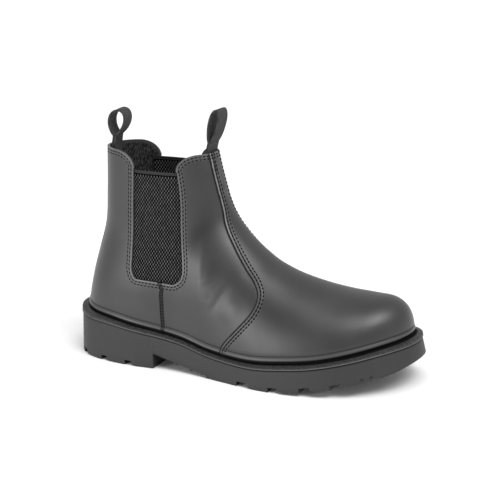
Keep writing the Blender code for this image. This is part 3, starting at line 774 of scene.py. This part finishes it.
# %% Lay the rings
plain = []
relief = []
tab_low = height_at(*RINGS[TAB_RING, 1:3])
for (height, back, front), share, row in rings:
    x, raised, ends = ring_columns(height, back, front)
    z = height(x)
    if row > TAB_RING:
        edge_back, edge_front = x[ends[2] - 1], x[ends[3] - 1]
        into = np.where(x < (edge_back + edge_front) / 2, x - edge_back, edge_front - x) / TAB_CORNER + 1
        drop = TAB_FALL * (1 - np.sqrt(1 - np.clip(into, 0, 0.99) ** 2))
        z = z - drop * (z - tab_low) / (COLLAR_HEIGHT - tab_low)
    centre, half = upper_sides(x, z)
    if share < 2:
        raised = raised * min(share, 1) + float(through(ROLL_ROWS, min(share, 1))[0]) * ROLL
    raised = raised + crease_relief(x, z)
    outer_side = np.stack([x, centre - half, z], axis=-1)
    inner_side = np.stack([x, centre + half, z], axis=-1)
    plain.append(np.concatenate([outer_side, inner_side[-2::-1]]))
    relief.append(np.concatenate([raised, raised[-2::-1]]))
plain = np.array(plain)
relief = np.array(relief)
columns = plain.shape[1]
side_columns = len(x)
window_start, window_end = ends[2] - 1, ends[3] - 1
seam_column = ends[4] + 3
normals = grid_normals(plain[:, :-1], closed=True)
normals = np.concatenate([normals, normals[:, :1]], axis=1)
skin = plain + normals * relief[..., None]
lining_side = plain - normals * LEATHER
print("grid of the upper: %d rings, %d columns" % plain.shape[:2])

# %% The skin as one shell
upper_shape = lay_grid(plain)
place = upper_shape.verts.layers.int["place"]
open_cells = []
for face in upper_shape.faces:
    row = min(vertex[place] for vertex in face.verts) // columns
    column = min(vertex[place] % columns for vertex in face.verts)
    mirrored = columns - 2 - column
    in_window = window_start <= column < window_end or window_start <= mirrored < window_end
    if row >= window_row and in_window:
        open_cells.append(face)
bmesh.ops.delete(upper_shape, geom=open_cells, context="FACES")
bmesh.ops.remove_doubles(upper_shape, verts=upper_shape.verts, dist=1e-6)
thicken(upper_shape, skin, lining_side, 0.45 * MM, lining=1)
plain_tree = grid_tree(plain)
skin_tree = grid_tree(skin)
print("open cells in the windows:", len(open_cells))
# each vertex keeps its crease depth in mm; the leather uses it only for painted shade in the troughs
crease_shade_layer = upper_shape.verts.layers.float.new("crease_shade")
spots = np.array([vertex.co for vertex in upper_shape.verts])
for vertex, depth in zip(upper_shape.verts, crease_relief(spots[:, 0], spots[:, 2])):
    vertex[crease_shade_layer] = -depth / MM


# %% Paths of the edges and seams
# The ring where the upper leaves the welt, the ring where the short seam ends, and how many columns
# ahead of the window's middle that seam lies
FOOT_RING = 2
COUNTER_RING = 5
COUNTER_AHEAD = 3


def both_sides(path_of):
    """A path on the outer side, and the same one on the inner side."""
    return path_of(lambda column: column), path_of(lambda column: columns - 1 - column)


def edge_path(side):
    """The upper's top edge from the back, round one window, to the front."""
    last = len(skin) - 1
    cells = [(last, column) for column in range(0, window_start)]
    cells += [(row, window_start) for row in range(last, window_row, -1)]
    cells += [(window_row, column) for column in range(window_start, window_end)]
    cells += [(row, window_end) for row in range(window_row, last)]
    cells += [(last, column) for column in range(window_end, side_columns)]
    return np.array([skin[row, side(column)] for row, column in cells])


def seam_path(side):
    return skin[:, side(seam_column)]


def stay_path(side):
    return skin[:, side(CELLS["stay"] + 1)]


def foot_path(side):
    """The upper's lower edge, where it meets the welt."""
    return np.array([skin[FOOT_RING, side(column)] for column in range(side_columns)])


def counter_path(side):
    """The short upright seam from the window down to the welt."""
    column = (window_start + window_end) // 2 + COUNTER_AHEAD
    return skin[COUNTER_RING:window_row + 1, side(column)]


edges = both_sides(edge_path)
seams = both_sides(seam_path)
stays = both_sides(stay_path)
counters = both_sides(counter_path)
feet = both_sides(foot_path)
for name, paths in (("edge", edges), ("seam", seams), ("counter", counters)):
    run = np.linalg.norm(np.diff(paths[0], axis=0), axis=1).sum()
    print("%s: %.0f mm" % (name, run * 1000))

# %% [markdown]
# ## Leather
# Black full-grain leather with a satin finish: a low pebble grain, a slow change in gloss where it was
# polished, and paler, smoother edges where it was folded. Light and shade are painted into its colour too:
# a highlight on the roll's crest, on the cut edges and high on the vamp's edge, and shade in the creases,
# under the vamp's step, round the roll, along the back strip and in the pressed stitch grooves. The seams
# are stored on the mesh as distances, so that the shader can press a groove along each row of stitches.

# %% Distances on the skin
mark(upper_shape, "hem", np.concatenate(edges))
mark(upper_shape, "seam", np.concatenate(seams), ahead=Vector((1, 0, 0.35)))
mark(upper_shape, "counter", np.concatenate(counters), ahead=Vector((1, 0, 0)))
mark(upper_shape, "strip", np.concatenate(stays))
mark(upper_shape, "foot", np.concatenate(feet))

# Rows of stitches, in mm from the edge or seam that they run along
HEM_ROWS = (2.0, 4.2)
SEAM_ROWS = (2.2, 4.5)
COUNTER_ROWS = (-1.2, 1.2)
STRIP_ROW = 1.6

# %% Leather finish
FLEX_CENTRE = (-0.015, -0.035, 0.085)
FLEX_LEAN = 24.0

leather = Finish("black_leather", Coat_Roughness=0.33, Specular_IOR_Level=0.5)
hem = leather.distance("hem")
seam = leather.distance("seam")
counter = leather.distance("counter")
strip = leather.distance("strip")
foot = leather.distance("foot")
crease_shade = leather.attribute("crease_shade")
grain = leather.pebbles(900.0) * 0.6 + leather.noise(1400.0, 3.0) * 0.4
wrinkle = leather.noise(160.0, 4.0, (1, 1, 0.6))
cloud = leather.noise(22.0, 2.0)
# fine wrinkles run up and forward across the quarter
spot_to_flex = {0: leather.place(), 1: FLEX_CENTRE}
off_flex = leather.node("ShaderNodeVectorMath", {"operation": "DISTANCE"}, spot_to_flex, output="Value")
flex = leather.noise(90.0, 2.0, (1, 1, 6), lean=FLEX_LEAN) * (1 - off_flex.rise(0.012, 0.034))
holes = (hem.line(HEM_ROWS[0], 0.8) + hem.line(HEM_ROWS[1], 0.8) + seam.line(SEAM_ROWS[1], 0.9)).least(1.0)
pressed = counter.line(COUNTER_ROWS[0], 0.9) + counter.line(COUNTER_ROWS[1], 0.9)
grooves = (seam.line(SEAM_ROWS[0], 1.0) + pressed).least(1.0)
# paler folded leather at the hem and along the vamp's edge, and a painted highlight on the crest of the roll
# over the welt
folded_edges_and_roll_highlight = (1 - hem.rise(4.2, 5.4)).most(seam.rise(0.0, 0.3) * (1 - seam.rise(4.9, 6.0)))
folded_edges_and_roll_highlight = folded_edges_and_roll_highlight.most(foot.line(2.9, 1.4))
# the cut edge: paler leather, with a painted highlight on it
cut_edge_and_highlight = 1 - hem.rise(0.5, 1.3)
above_floor = leather.node("ShaderNodeSeparateXYZ", None, {"Vector": leather.place()}, output="Z")
# painted highlight: a near white line along the vamp's edge, high up on the boot only
painted_seam_highlight = seam.line(0.75, 0.65) * above_floor.rise(0.095, 0.135)
# painted shade: a dark line under the vamp's step, along the back strip's edge, in the crevice under the
# roll and in the small crease above it; the short seam's own dark joint is in it too
edge_shade_and_joint = seam.line(-0.6, 1.2).most(counter.line(0.0, 0.7)).most(strip.line(0.0, 0.9))
edge_shade_and_joint = edge_shade_and_joint.most(1 - foot.rise(0.9, 1.9)).most(foot.line(4.9, 0.9) * 0.55)
# base colour: the leather's own tone varies at random, then painted shade and highlights are laid over it
tone_and_painted_light = leather.mix(cloud.rise(0.3, 0.7), grey(0.018), grey(0.025))
# painted shade in the crease troughs, darker where they run deeper
tone_and_painted_light = leather.mix((crease_shade * 1.2).most(0.0).least(0.7), tone_and_painted_light, grey(0.006))
# the paler folded edges, and the painted highlight on the roll
tone_and_painted_light = leather.mix(folded_edges_and_roll_highlight * 0.6, tone_and_painted_light, grey(0.062))
tone_and_painted_light = leather.mix(cut_edge_and_highlight * 0.6, tone_and_painted_light, grey(0.120))
# the painted highlight on the vamp's edge is laid over the base colour last
leather.set("Base Color", leather.mix(painted_seam_highlight * 0.9, tone_and_painted_light, grey(0.230)))
dull = grooves.most(edge_shade_and_joint)
leather.set("Roughness", 0.44 + (cloud - 0.5) * 0.12 + (wrinkle - 0.5) * 0.10 + dull * 0.4)
leather.set("Coat Weight", (0.18 + (cloud - 0.5) * 0.1) * (1 - dull))
leather.bump(grain * 0.05 + wrinkle * 0.08 + flex * 0.16 - holes * 0.3 - dull * 0.4, 0.9, 0.0008)
# darkens the stitch holes and the short seam's own dark joint, and paints shade into the pressed stitch
# grooves, under the vamp's step, along the back strip and round the roll
leather.paint_shade_and_dark_joints((holes * 0.30).most(grooves * 0.65).most(edge_shade_and_joint * 0.80), 0.006)

# %% Lining finish and the finished upper
lining = Finish("dark_lining", Roughness=0.9, Specular_IOR_Level=0.25)
streaks = lining.noise(60.0, 2.0, (22, 22, 6.0))
knit = lining.mix(streaks.rise(0.42, 0.62), grey(0.006), grey(0.065))
rim_band = 1 - lining.distance("hem").rise(2.6, 3.4)
lining.set("Base Color", lining.mix(rim_band * 0.8, knit, grey(0.060)))
lining.bump(streaks, 0.5, 0.0006)
finish_piece("upper_leather", upper_shape, [leather, lining], node="upper")

# %% [markdown]
# ## Stitches on the upper
# Two rows of dark thread run beside the vamp's edge, two round each window and along the tabs, two down
# the short seam under the window, and one inside each edge of the back strip. They are real beads of
# thread, laid on the finished skin with the pitch counted in the photo.

# %% Thread finish
thread = Finish("dark_thread", Roughness=0.85, Specular_IOR_Level=0.08)
twist = thread.noise(2200.0, 1.0)
thread.set("Base Color", thread.mix(twist, grey(0.002), grey(0.008)))
thread.bump(twist, 0.4, 0.0003)


# %% Sew the upper
def sew_beside(path, distance, **stitch):
    """A row of stitches, in mm from a path: moved over the plain form, then set on the skin."""
    row = beside(plain_tree, evenly(path, 1.5 * MM), distance * MM)
    return sew(skin_tree, row, **stitch)


sewing = []
for way, edge, seam_line, strip_line, counter_line in zip((1, -1), edges, seams, stays, counters):
    for distance in HEM_ROWS:
        sewing += sew_beside(edge[3:-3], -way * distance)
    for distance in SEAM_ROWS:
        sewing += sew_beside(seam_line[10:-1], -way * distance, length=2.7 * MM, thick=1.6 * MM)
    for distance in COUNTER_ROWS:
        sewing += sew_beside(counter_line, way * distance, pitch=2.7 * MM, length=2.0 * MM)
    sewing += sew_beside(strip_line[12:-1], way * STRIP_ROW)
finish_piece("upper_stitches", stamp(sewing), [thread])
print("stitches:", len(sewing))

# %% [markdown]
# ## Elastic gores
# The gore is a woven rubber web. Its face shows staggered columns of short upright floats, like grains of
# rice, and its top is bound with a narrow tape. The floats are small enough to be a bump, but they make
# the photo's strongest pattern, so they are modelled: a grain is a low bead, stamped on both faces of the
# panel.

# %% Sizes and finishes of the gores
GORE_TOP = 0.163
GORE_LAP = 0.005
GORE_THICKNESS = 0.0009
GORE_DEPTH = LEATHER + CLEARANCE + 0.0007
GORE_ROWS = 40
GORE_COLUMNS = 21
WINDOW_CORNER = 0.006
BINDING_HEIGHT = 0.0020
BINDING_THICKNESS = 0.0022
FLOAT_ACROSS = 1.30 * MM
FLOAT_UP = 3.6 * MM
FLOATS_BELOW_TOP = 3.4 * MM
# half axes of one float: across, out of the web, and up
FLOAT_AXES = np.array((0.52, 0.45, 1.10)) * MM
# name, side, node, top
GORES = (
    ("outer_gore", -1, "gore_outer", GORE_TOP),
    ("inner_gore", 1, "gore_inner", GORE_TOP + 2.0 * MM),
)

elastic = Finish("black_elastic", Roughness=0.95, Specular_IOR_Level=0.05)
fuzz = elastic.noise(900.0, 2.0)
elastic.set("Base Color", elastic.mix(fuzz, grey(0.001), grey(0.004)))
elastic.bump(fuzz, 0.5, 0.0004)
floats = Finish("elastic_floats", Roughness=0.62, Specular_IOR_Level=0.3)
sheen = floats.noise(700.0, 1.0, (1, 1, 0.3))
floats.set("Base Color", floats.mix(sheen.rise(0.3, 0.7), grey(0.060), grey(0.110)))
binding = Finish("gore_binding", Roughness=0.75, Specular_IOR_Level=0.3)
ribs = binding.noise(1500.0, 1.0, (1, 1, 0.2))
binding.set("Base Color", binding.mix(ribs, grey(0.010), grey(0.034)))
binding.bump(ribs, 0.4, 0.0004)

window_bottom = height_at(*RINGS[WINDOW_RING, 1:3])
print("windows start %.1f mm over the floor" % (window_bottom * 1000))


# %% Gore panels with their floats and binding
def gore_ends(z):
    """x of the gore's back and front edge at a height; it laps behind the leather all round."""
    window_back, window_front, _ = through(SIDE_LINES, max(z, window_bottom + WINDOW_CORNER)) * LENGTH
    return window_back - GORE_LAP, window_front + GORE_LAP


def gore_form(side, low, high, rows):
    """Points of the upper's form where a gore lies, and the way into the boot from each of them."""
    across = np.linspace(0, 1, GORE_COLUMNS)[::-side]
    points = []
    for z in np.linspace(low, high, rows):
        start, end = gore_ends(z)
        x = start + (end - start) * across
        centre, half = upper_sides(x, np.full_like(x, z))
        points.append(np.stack([x, centre + side * half, np.full_like(x, z)], axis=-1))
    points = np.array(points)
    return points, -grid_normals(points, closed=False)


def make_web(name, side, node, top):
    surface, inward = gore_form(side, window_bottom - GORE_LAP, top - BINDING_HEIGHT / 2, GORE_ROWS)
    sheet = lay_grid(surface)
    outer = surface + inward * (GORE_DEPTH - GORE_THICKNESS / 2)
    inner = surface + inward * (GORE_DEPTH + GORE_THICKNESS / 2)
    thicken(sheet, outer, inner, 0.2 * MM)
    finish_piece(name + "_web", sheet, [elastic], node=node)
    return surface


def make_floats(name, side, top, surface):
    """Beads on both faces of the web, with every second column half a float higher."""
    tree = grid_tree(surface)
    middle = surface[:, GORE_COLUMNS // 2, 0].mean()
    highest = top - FLOATS_BELOW_TOP
    upright = Vector((0, 0, 1))
    grains = []
    for number, off in enumerate(np.arange(-22, 23) * FLOAT_ACROSS):
        x = middle + off
        for z in np.arange(window_bottom - 3 * MM, highest, FLOAT_UP) + (number % 2) * FLOAT_UP / 2:
            start, end = gore_ends(z)
            if not start < x < end or z > highest:
                continue
            centre, half = upper_sides(np.array(x), np.array(z))
            spot, normal, _, _ = tree.find_nearest(Vector((x, float(centre + side * half), z)))
            out = (normal - upright * normal.dot(upright)).normalized()
            axes = [way * size for way, size in zip((out.cross(upright), out, upright), FLOAT_AXES)]
            for face in (-1, 1):
                grains.append((*axes, spot - out * (GORE_DEPTH + face * GORE_THICKNESS / 2)))
    finish_piece(name + "_floats", stamp(grains, 6, 4), [floats])


def make_binding(name, side, top):
    surface, inward = gore_form(side, top - BINDING_HEIGHT, top, 6)
    tape = lay_grid(surface)
    outer = surface + inward * (GORE_DEPTH - BINDING_THICKNESS / 2)
    inner = surface + inward * (GORE_DEPTH + BINDING_THICKNESS / 2)
    thicken(tape, outer, inner, 0.5 * MM)
    finish_piece(name + "_binding", tape, [binding])


for name, side, node, top in GORES:
    surface = make_web(name, side, node, top)
    make_floats(name, side, top, surface)
    make_binding(name, side, top)

# %% [markdown]
# ## Sole and welt
# The sole unit is moulded rubber: a side wall that leans in as it rises, a thin moulded ridge, a parting
# line, and a welt whose shelf slopes out round the upper. Both are made from the sole's outline, moved in by
# an inset and set at a height, ring over ring, and the lugs are cut from below. Three low bars cross the
# arch, where the photo shows small steps in its lower edge.

# %% Rings of the sole
SOLE_STATIONS = 140


def flare(x):
    return SOLE_FLARE * (0.45 + 0.55 * ease(0.85, 1, x / LENGTH))


shares = cosine_shares(SOLE_STATIONS + 1)
breast = np.array((HEEL_SHARE, UNDERSIDE[0, 0]))
apart = np.all([np.abs(shares - place) > 0.004 for place in breast], axis=0)
shares = np.sort(np.concatenate([shares[apart], breast]))


def sole_ring(inset, height):
    """One ring of the sole: its outline moved inward by an inset, at a height, both worked out from x."""
    half, swing = plan(shares)
    x = shares * LENGTH
    outline = np.concatenate([
        np.stack([x, swing - half], axis=-1),
        np.stack([x, swing + half], axis=-1)[-2:0:-1],
    ])
    along = np.roll(outline, -1, axis=0) - np.roll(outline, 1, axis=0)
    normal = np.stack([along[:, 1], -along[:, 0]], axis=-1)
    normal /= np.linalg.norm(normal, axis=1, keepdims=True)
    moved = outline - normal * (inset(outline[:, 0]) * np.ones(len(outline)))[:, None]
    ring = np.column_stack([moved, height(moved[:, 0])])
    return np.concatenate([ring, ring[:1]])


def cap_points(ring, across=16):
    """Points that close a ring from one side of the sole to the other."""
    near = ring[:len(shares)]
    far = ring[:-1][[0, *range(len(ring) - 2, len(shares) - 1, -1), len(shares) - 1]]
    steps = np.linspace(0, 1, across + 1)[:, None, None]
    return near * (1 - steps) + far * steps


# %% Rubber finishes
rubber = Finish("black_rubber", Specular_IOR_Level=0.4)
mould = rubber.noise(700.0, 3.0)
flow = rubber.noise(35.0, 2.0)
parting_shade = rubber.distance("parting_shade")
rubber.set("Base Color", rubber.mix(flow, grey(0.022), grey(0.032)))
rubber.set("Roughness", 0.56 + (flow - 0.5) * 0.12)
rubber.bump(mould, 0.35, 0.0005)
# painted shade along the parting line, in the seam where the welt sits on the outsole
rubber.paint_shade_and_dark_joints((1 - parting_shade.rise(0.3, 1.3)) * 0.6, 0.006)
welt_rubber = Finish("welt_rubber", Roughness=0.55, Specular_IOR_Level=0.4)
ribs = welt_rubber.noise(500.0, 3.0)
ridge_highlight = welt_rubber.distance("ridge_highlight")
gap = welt_rubber.distance("gap")
mottle = welt_rubber.mix(ribs.rise(0.35, 0.65), grey(0.014), grey(0.034))
# painted highlight: the welt's thin ridge is painted paler along its length
welt_rubber.set("Base Color", welt_rubber.mix((1 - ridge_highlight.rise(0.2, 0.9)) * 0.9, mottle, grey(0.085)))
welt_rubber.bump(ribs, 0.4, 0.0006)
# painted shade in the groove where the upper meets the welt's shelf
welt_rubber.paint_shade_and_dark_joints((1 - gap.rise(1.0, 2.8)) * 0.9, 0.004)

# %% The welt
# Profile: inset from the welt's edge in mm, height in mm, and what the height is measured from: the rim (0),
# the brim (1) or the welt's top (2)
WELT_PROFILE = (
    (0.45, 0.10, 0), (0.10, 0.20, 0), (-0.15, 0.45, 0), (-0.15, 0.80, 0), (0.08, 1.05, 0), (0.10, -0.65, 1),
    (0.25, -0.25, 1), (0.70, 0.00, 1), (2.20, 0.42, 1), (4.20, 1.15, 1),
)
bases = (rim, lambda x: welt_top(x) - WELT_SLOPE, welt_top)


def welt_edge(x):
    return flare(x) - WELT_LIP


def ledge(x):
    return through(WELT, x / LENGTH)[..., 1] * WELT_LEDGE


welt_rings = []
for inset, rise, base in WELT_PROFILE:
    welt_rings.append(sole_ring(lambda x: welt_edge(x) + inset * MM, lambda x: bases[base](x) + rise * MM))
welt_rings.append(sole_ring(lambda x: welt_edge(x) + ledge(x), welt_top))
welt_rings.append(sole_ring(lambda x: welt_edge(x) + ledge(x) + 4 * MM, welt_top))
welt_rings.append(sole_ring(lambda x: welt_edge(x) + ledge(x) + 4 * MM, lambda x: rim(x) + 0.1 * MM))
welt_rings.append(welt_rings[0])
welt_shape = lay_grid(np.array(welt_rings))
bmesh.ops.remove_doubles(welt_shape, verts=welt_shape.verts, dist=1e-6)
mark(welt_shape, "ridge_highlight", (welt_rings[2] + welt_rings[3]) / 2)
mark(welt_shape, "gap", welt_rings[-4])
finish_piece("welt", welt_shape, [welt_rubber], node="midsole", smooth=35)

# %% The outsole with its lugs
# Wall: share of the way up it, inset in mm more than the straight wall's
WALL = ((0.25, 0.0), (0.5, -0.05), (0.75, 0.0), (0.93, 0.0), (0.965, 0.12), (1.0, 0.45))
SOLE_EDGE = 0.0010
SLOTS = (
    (0.036, 0.050), (0.110, 0.131), (0.191, 0.213), (0.549, 0.584), (0.646, 0.676), (0.735, 0.765),
    (0.816, 0.846), (0.890, 0.898), (0.911, 0.919),
)
CHANNELS = ((0.055, 0.235), (0.515, 0.830))
LUG_DEPTH = 0.0042
LUG_WEAR_ALONG = 0.0050
LUG_WEAR_UP = 0.0016
LUG_WEAR_OVERLAP = 1.15
CHANNEL_DEPTH = 0.0034
CHANNEL_WIDTH = 0.0050
CHANNEL_SPREAD = 0.0150


def wall_height(share):
    def height(x):
        low = underside(x) + SOLE_EDGE
        return low + (rim(x) - CLEARANCE - low) * share
    return height


sole_rings = [
    sole_ring(lambda x: SOLE_EDGE * 0.6, underside),
    sole_ring(lambda x: SOLE_EDGE * 0.18, lambda x: underside(x) + SOLE_EDGE * 0.3),
    sole_ring(lambda x: 0 * x, lambda x: underside(x) + SOLE_EDGE),
]
for share, extra in WALL:
    sole_rings.append(sole_ring(lambda x: flare(x) * share + extra * MM, wall_height(share)))
sole_shape = lay_grid(np.array(sole_rings))
for ring, order in ((sole_rings[0], 1), (sole_rings[-1], -1)):
    cap = lay_grid(cap_points(ring)[::order])
    cap_mesh = bpy.data.meshes.new("cap")
    cap.to_mesh(cap_mesh)
    cap.free()
    sole_shape.from_mesh(cap_mesh)
    bpy.data.meshes.remove(cap_mesh)
bmesh.ops.remove_doubles(sole_shape, verts=sole_shape.verts, dist=1e-6)
bmesh.ops.dissolve_degenerate(sole_shape, edges=sole_shape.edges, dist=1e-7)
bmesh.ops.recalc_face_normals(sole_shape, faces=sole_shape.faces)
print("open edges of the sole:", sum(len(edge.link_faces) != 2 for edge in sole_shape.edges))


# %% Cut the lugs
def lug_cutters():
    """Boxes that cut slots across the sole, a worn slope on the lug ahead of each slot, and channels along
    it.
    """
    cutters = bmesh.new()

    def add_box(centre, size, tilt=0.0):
        box = Matrix.Translation(centre) @ Matrix.Rotation(tilt, 4, "Y") @ Matrix.Diagonal((*size, 1))
        bmesh.ops.create_cube(cutters, size=1, matrix=box)

    for start, end in SLOTS:
        x = (start + end) / 2 * LENGTH
        ahead, behind = underside(np.array([x + LUG_DEPTH, x - LUG_DEPTH]))
        tilt = np.arctan((behind - ahead) / (2 * LUG_DEPTH))
        size = ((end - start) * LENGTH, 2 * BALL_WIDTH, 2 * LUG_DEPTH)
        add_box((x, 0, float(underside(np.array(x)))), size, tilt)
        worn = tilt + np.arctan(LUG_WEAR_UP / LUG_WEAR_ALONG)
        spot = np.array((end * LENGTH + LUG_WEAR_ALONG / 2, 0, 0))
        spot[2] = underside(spot[0]) + LUG_WEAR_UP / 2
        spot -= np.array((np.sin(worn), 0, np.cos(worn))) * LUG_DEPTH / 2
        add_box(spot, (LUG_WEAR_ALONG * LUG_WEAR_OVERLAP, 2 * BALL_WIDTH, LUG_DEPTH), worn)
    for start, end in CHANNELS:
        middle = (start + end) / 2
        swing = float(plan(np.array(middle))[1])
        for side in (-1, 1):
            size = ((end - start) * LENGTH, CHANNEL_WIDTH, 2 * CHANNEL_DEPTH)
            add_box((middle * LENGTH, swing + side * CHANNEL_SPREAD, 0), size)
    return cutters


def cut_with(shape, cutters):
    """Takes the cutters out of a shape with one Boolean, and gives the result as a bmesh."""
    blank = bpy.data.objects.new("blank", bpy.data.meshes.new("blank"))
    tool = bpy.data.objects.new("tool", bpy.data.meshes.new("tool"))
    for holder, form in ((blank, shape), (tool, cutters)):
        form.to_mesh(holder.data)
        form.free()
        bpy.context.scene.collection.objects.link(holder)
    cut = blank.modifiers.new("cut", "BOOLEAN")
    cut.operation = "DIFFERENCE"
    cut.object = tool
    cut.use_self = True
    result = bmesh.new()
    result.from_object(blank, bpy.context.evaluated_depsgraph_get())
    for holder in (blank, tool):
        mesh = holder.data
        bpy.data.objects.remove(holder)
        bpy.data.meshes.remove(mesh)
    return result


sole_shape = cut_with(sole_shape, lug_cutters())
mark(sole_shape, "parting_shade", sole_rings[-1])
bmesh.ops.triangulate(sole_shape, faces=[face for face in sole_shape.faces if len(face.verts) > 4])
finish_piece("outsole_rubber", sole_shape, [rubber], node="outsole", smooth=30)

# %% Low bars across the arch
BARS = (0.349, 0.397, 0.453)
BAR_LENGTH = 0.0030
BAR_HEIGHT = 0.0034

bars = bmesh.new()
for share in BARS:
    half, swing = plan(np.array(share))
    low = float(underside(np.array(share * LENGTH)))
    place = Matrix.Translation((share * LENGTH, float(swing), low + 0.2 * MM))
    size = Matrix.Diagonal((BAR_LENGTH, 2 * float(half) - 1.0 * MM, BAR_HEIGHT, 1))
    bmesh.ops.create_cube(bars, size=1, matrix=place @ size)
bmesh.ops.bevel(bars, geom=bars.edges, offset=0.8 * MM, offset_type="OFFSET", segments=2, profile=0.5,
                affect="EDGES", material=-1)
mark(bars, "parting_shade", sole_rings[-1])
finish_piece("arch_bars", bars, [rubber], smooth=30)

# %% [markdown]
# ## Pull loops
# Each loop is one length of woven tape, folded over and sewn inside the tab. It is laid directly along
# its path, because a cloth simulation would only let it go limp: the real tape is stiff enough to stand.

# %% Webbing finish
webbing = Finish("black_webbing", Roughness=0.78, Specular_IOR_Level=0.3)
bands = {"wave_type": "BANDS", "bands_direction": "DIAGONAL"}
spacing = {"Vector": webbing.place((1, 0.25, 1), "UV"), "Scale": 24.0, "Distortion": 0.6}
twill = webbing.node("ShaderNodeTexWave", bands, spacing, output="Fac")
border = 1 - webbing.distance("selvedge").rise(0.4, 1.4)
weave = webbing.mix(twill, grey(0.026), grey(0.070))
webbing.set("Base Color", webbing.mix(border * 0.7, weave, grey(0.020)))
webbing.bump(twill + border * 0.6, 0.5, 0.0005)

# %% Loops from their side view
TAPE_THICKNESS = 0.0015
# the tape is laid a touch thinner than it is, so that its two legs don't merge
TAPE_FILL = 0.96
TAPE_WIDTH = 0.0130
TAPE_TUCK = 0.0120
LOOP_HEIGHT = 0.0260
LOOP_WIDTH = 0.0105
LOOP_LEAN = 0.0080
LOOP_STEM = 0.0085
# stem as a share of the length, height, width and lean as shares of the sizes above, turn in degrees
LOOPS = {
    "pull_loop_back": (0.1218, 0.7692, 1.1000, 0.625, 1),
    "pull_loop_front": (0.4085, 1.0000, 0.6000, 1.150, -6),
}


def side_normals(path):
    """Unit normals of a path in the side view."""
    along = np.gradient(path, axis=0)
    normals = np.stack([-along[:, 1], along[:, 0]], axis=-1)
    return normals / np.linalg.norm(normals, axis=1, keepdims=True)


def loop_path(stem_share, tall_share, wide_share, lean_share):
    """Middle line of the tape in the side view, from the tuck behind the tab, round, and back to it."""
    tall = tall_share * LOOP_HEIGHT
    bulge = wide_share * LOOP_WIDTH / 2 * 1.3
    turn = np.linspace(0, 2 * np.pi, 62)[1:-1]
    across = -bulge * np.sin(turn) * np.sin(turn / 2) ** 0.6
    drop = np.stack([across, tall / 2 * (1 - np.cos(turn))], axis=-1)
    outward = side_normals(drop)
    if outward[0, 0] > 0:
        outward = -outward
    drop = drop + outward * TAPE_THICKNESS / 2
    low = np.linspace(-LOOP_STEM - TAPE_TUCK, -1.0 * MM, 12)
    leg = np.stack([np.full_like(low, TAPE_THICKNESS / 2), low], axis=-1)
    path = np.concatenate([leg * (-1, 1), drop, leg[::-1]])
    path[:, 0] += lean_share * LOOP_LEAN * np.maximum(path[:, 1] + LOOP_STEM, 0) / (tall + LOOP_STEM)
    return path + (stem_share * LENGTH, COLLAR_HEIGHT + LOOP_STEM)


def make_loop(name, sizes, askew):
    """A loop's tape: laid across its middle line, turned about its stem, and thickened."""
    path = loop_path(*sizes)
    wide = np.linspace(-TAPE_WIDTH / 2, TAPE_WIDTH / 2, 13)
    middle = np.array([[(x, y, z) for y in wide] for x, z in path])
    lift = np.array([[(x, 0, z)] for x, z in side_normals(path)]) * TAPE_THICKNESS / 2 * TAPE_FILL
    turned = np.array(Matrix.Rotation(np.radians(askew), 3, "Z"))
    pivot = np.array((sizes[0] * LENGTH, 0, 0))
    middle = (middle - pivot) @ turned.T + pivot
    lift = lift @ turned.T
    if grid_normals(middle, closed=False)[5, 5].dot(lift[5, 0]) < 0:
        lift = -lift
    tape = lay_grid(middle)
    thicken(tape, middle + lift, middle - lift, 0.35 * MM)
    mark(tape, "selvedge", np.concatenate([middle[:, 0], middle[::-1, -1]]))
    finish_piece(name + "_tape", tape, [webbing], node=name)


for name, (*sizes, askew) in LOOPS.items():
    make_loop(name, sizes, askew)

# %% [markdown]
# ## Footbed
# The footbed lies deep in the boot and only its middle shows from above. Its solid has the right form, so
# it keeps it and gets a brushed fabric finish.

# %% Footbed finish
footbed = Finish("footbed_fabric", Roughness=0.95)
pile = footbed.noise(1600.0, 3.0)
footbed.set("Base Color", footbed.mix(pile, grey(0.014), grey(0.040)))
footbed.bump(pile, 0.6, 0.0006)
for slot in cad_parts["insole"].material_slots:
    slot.material = footbed.material
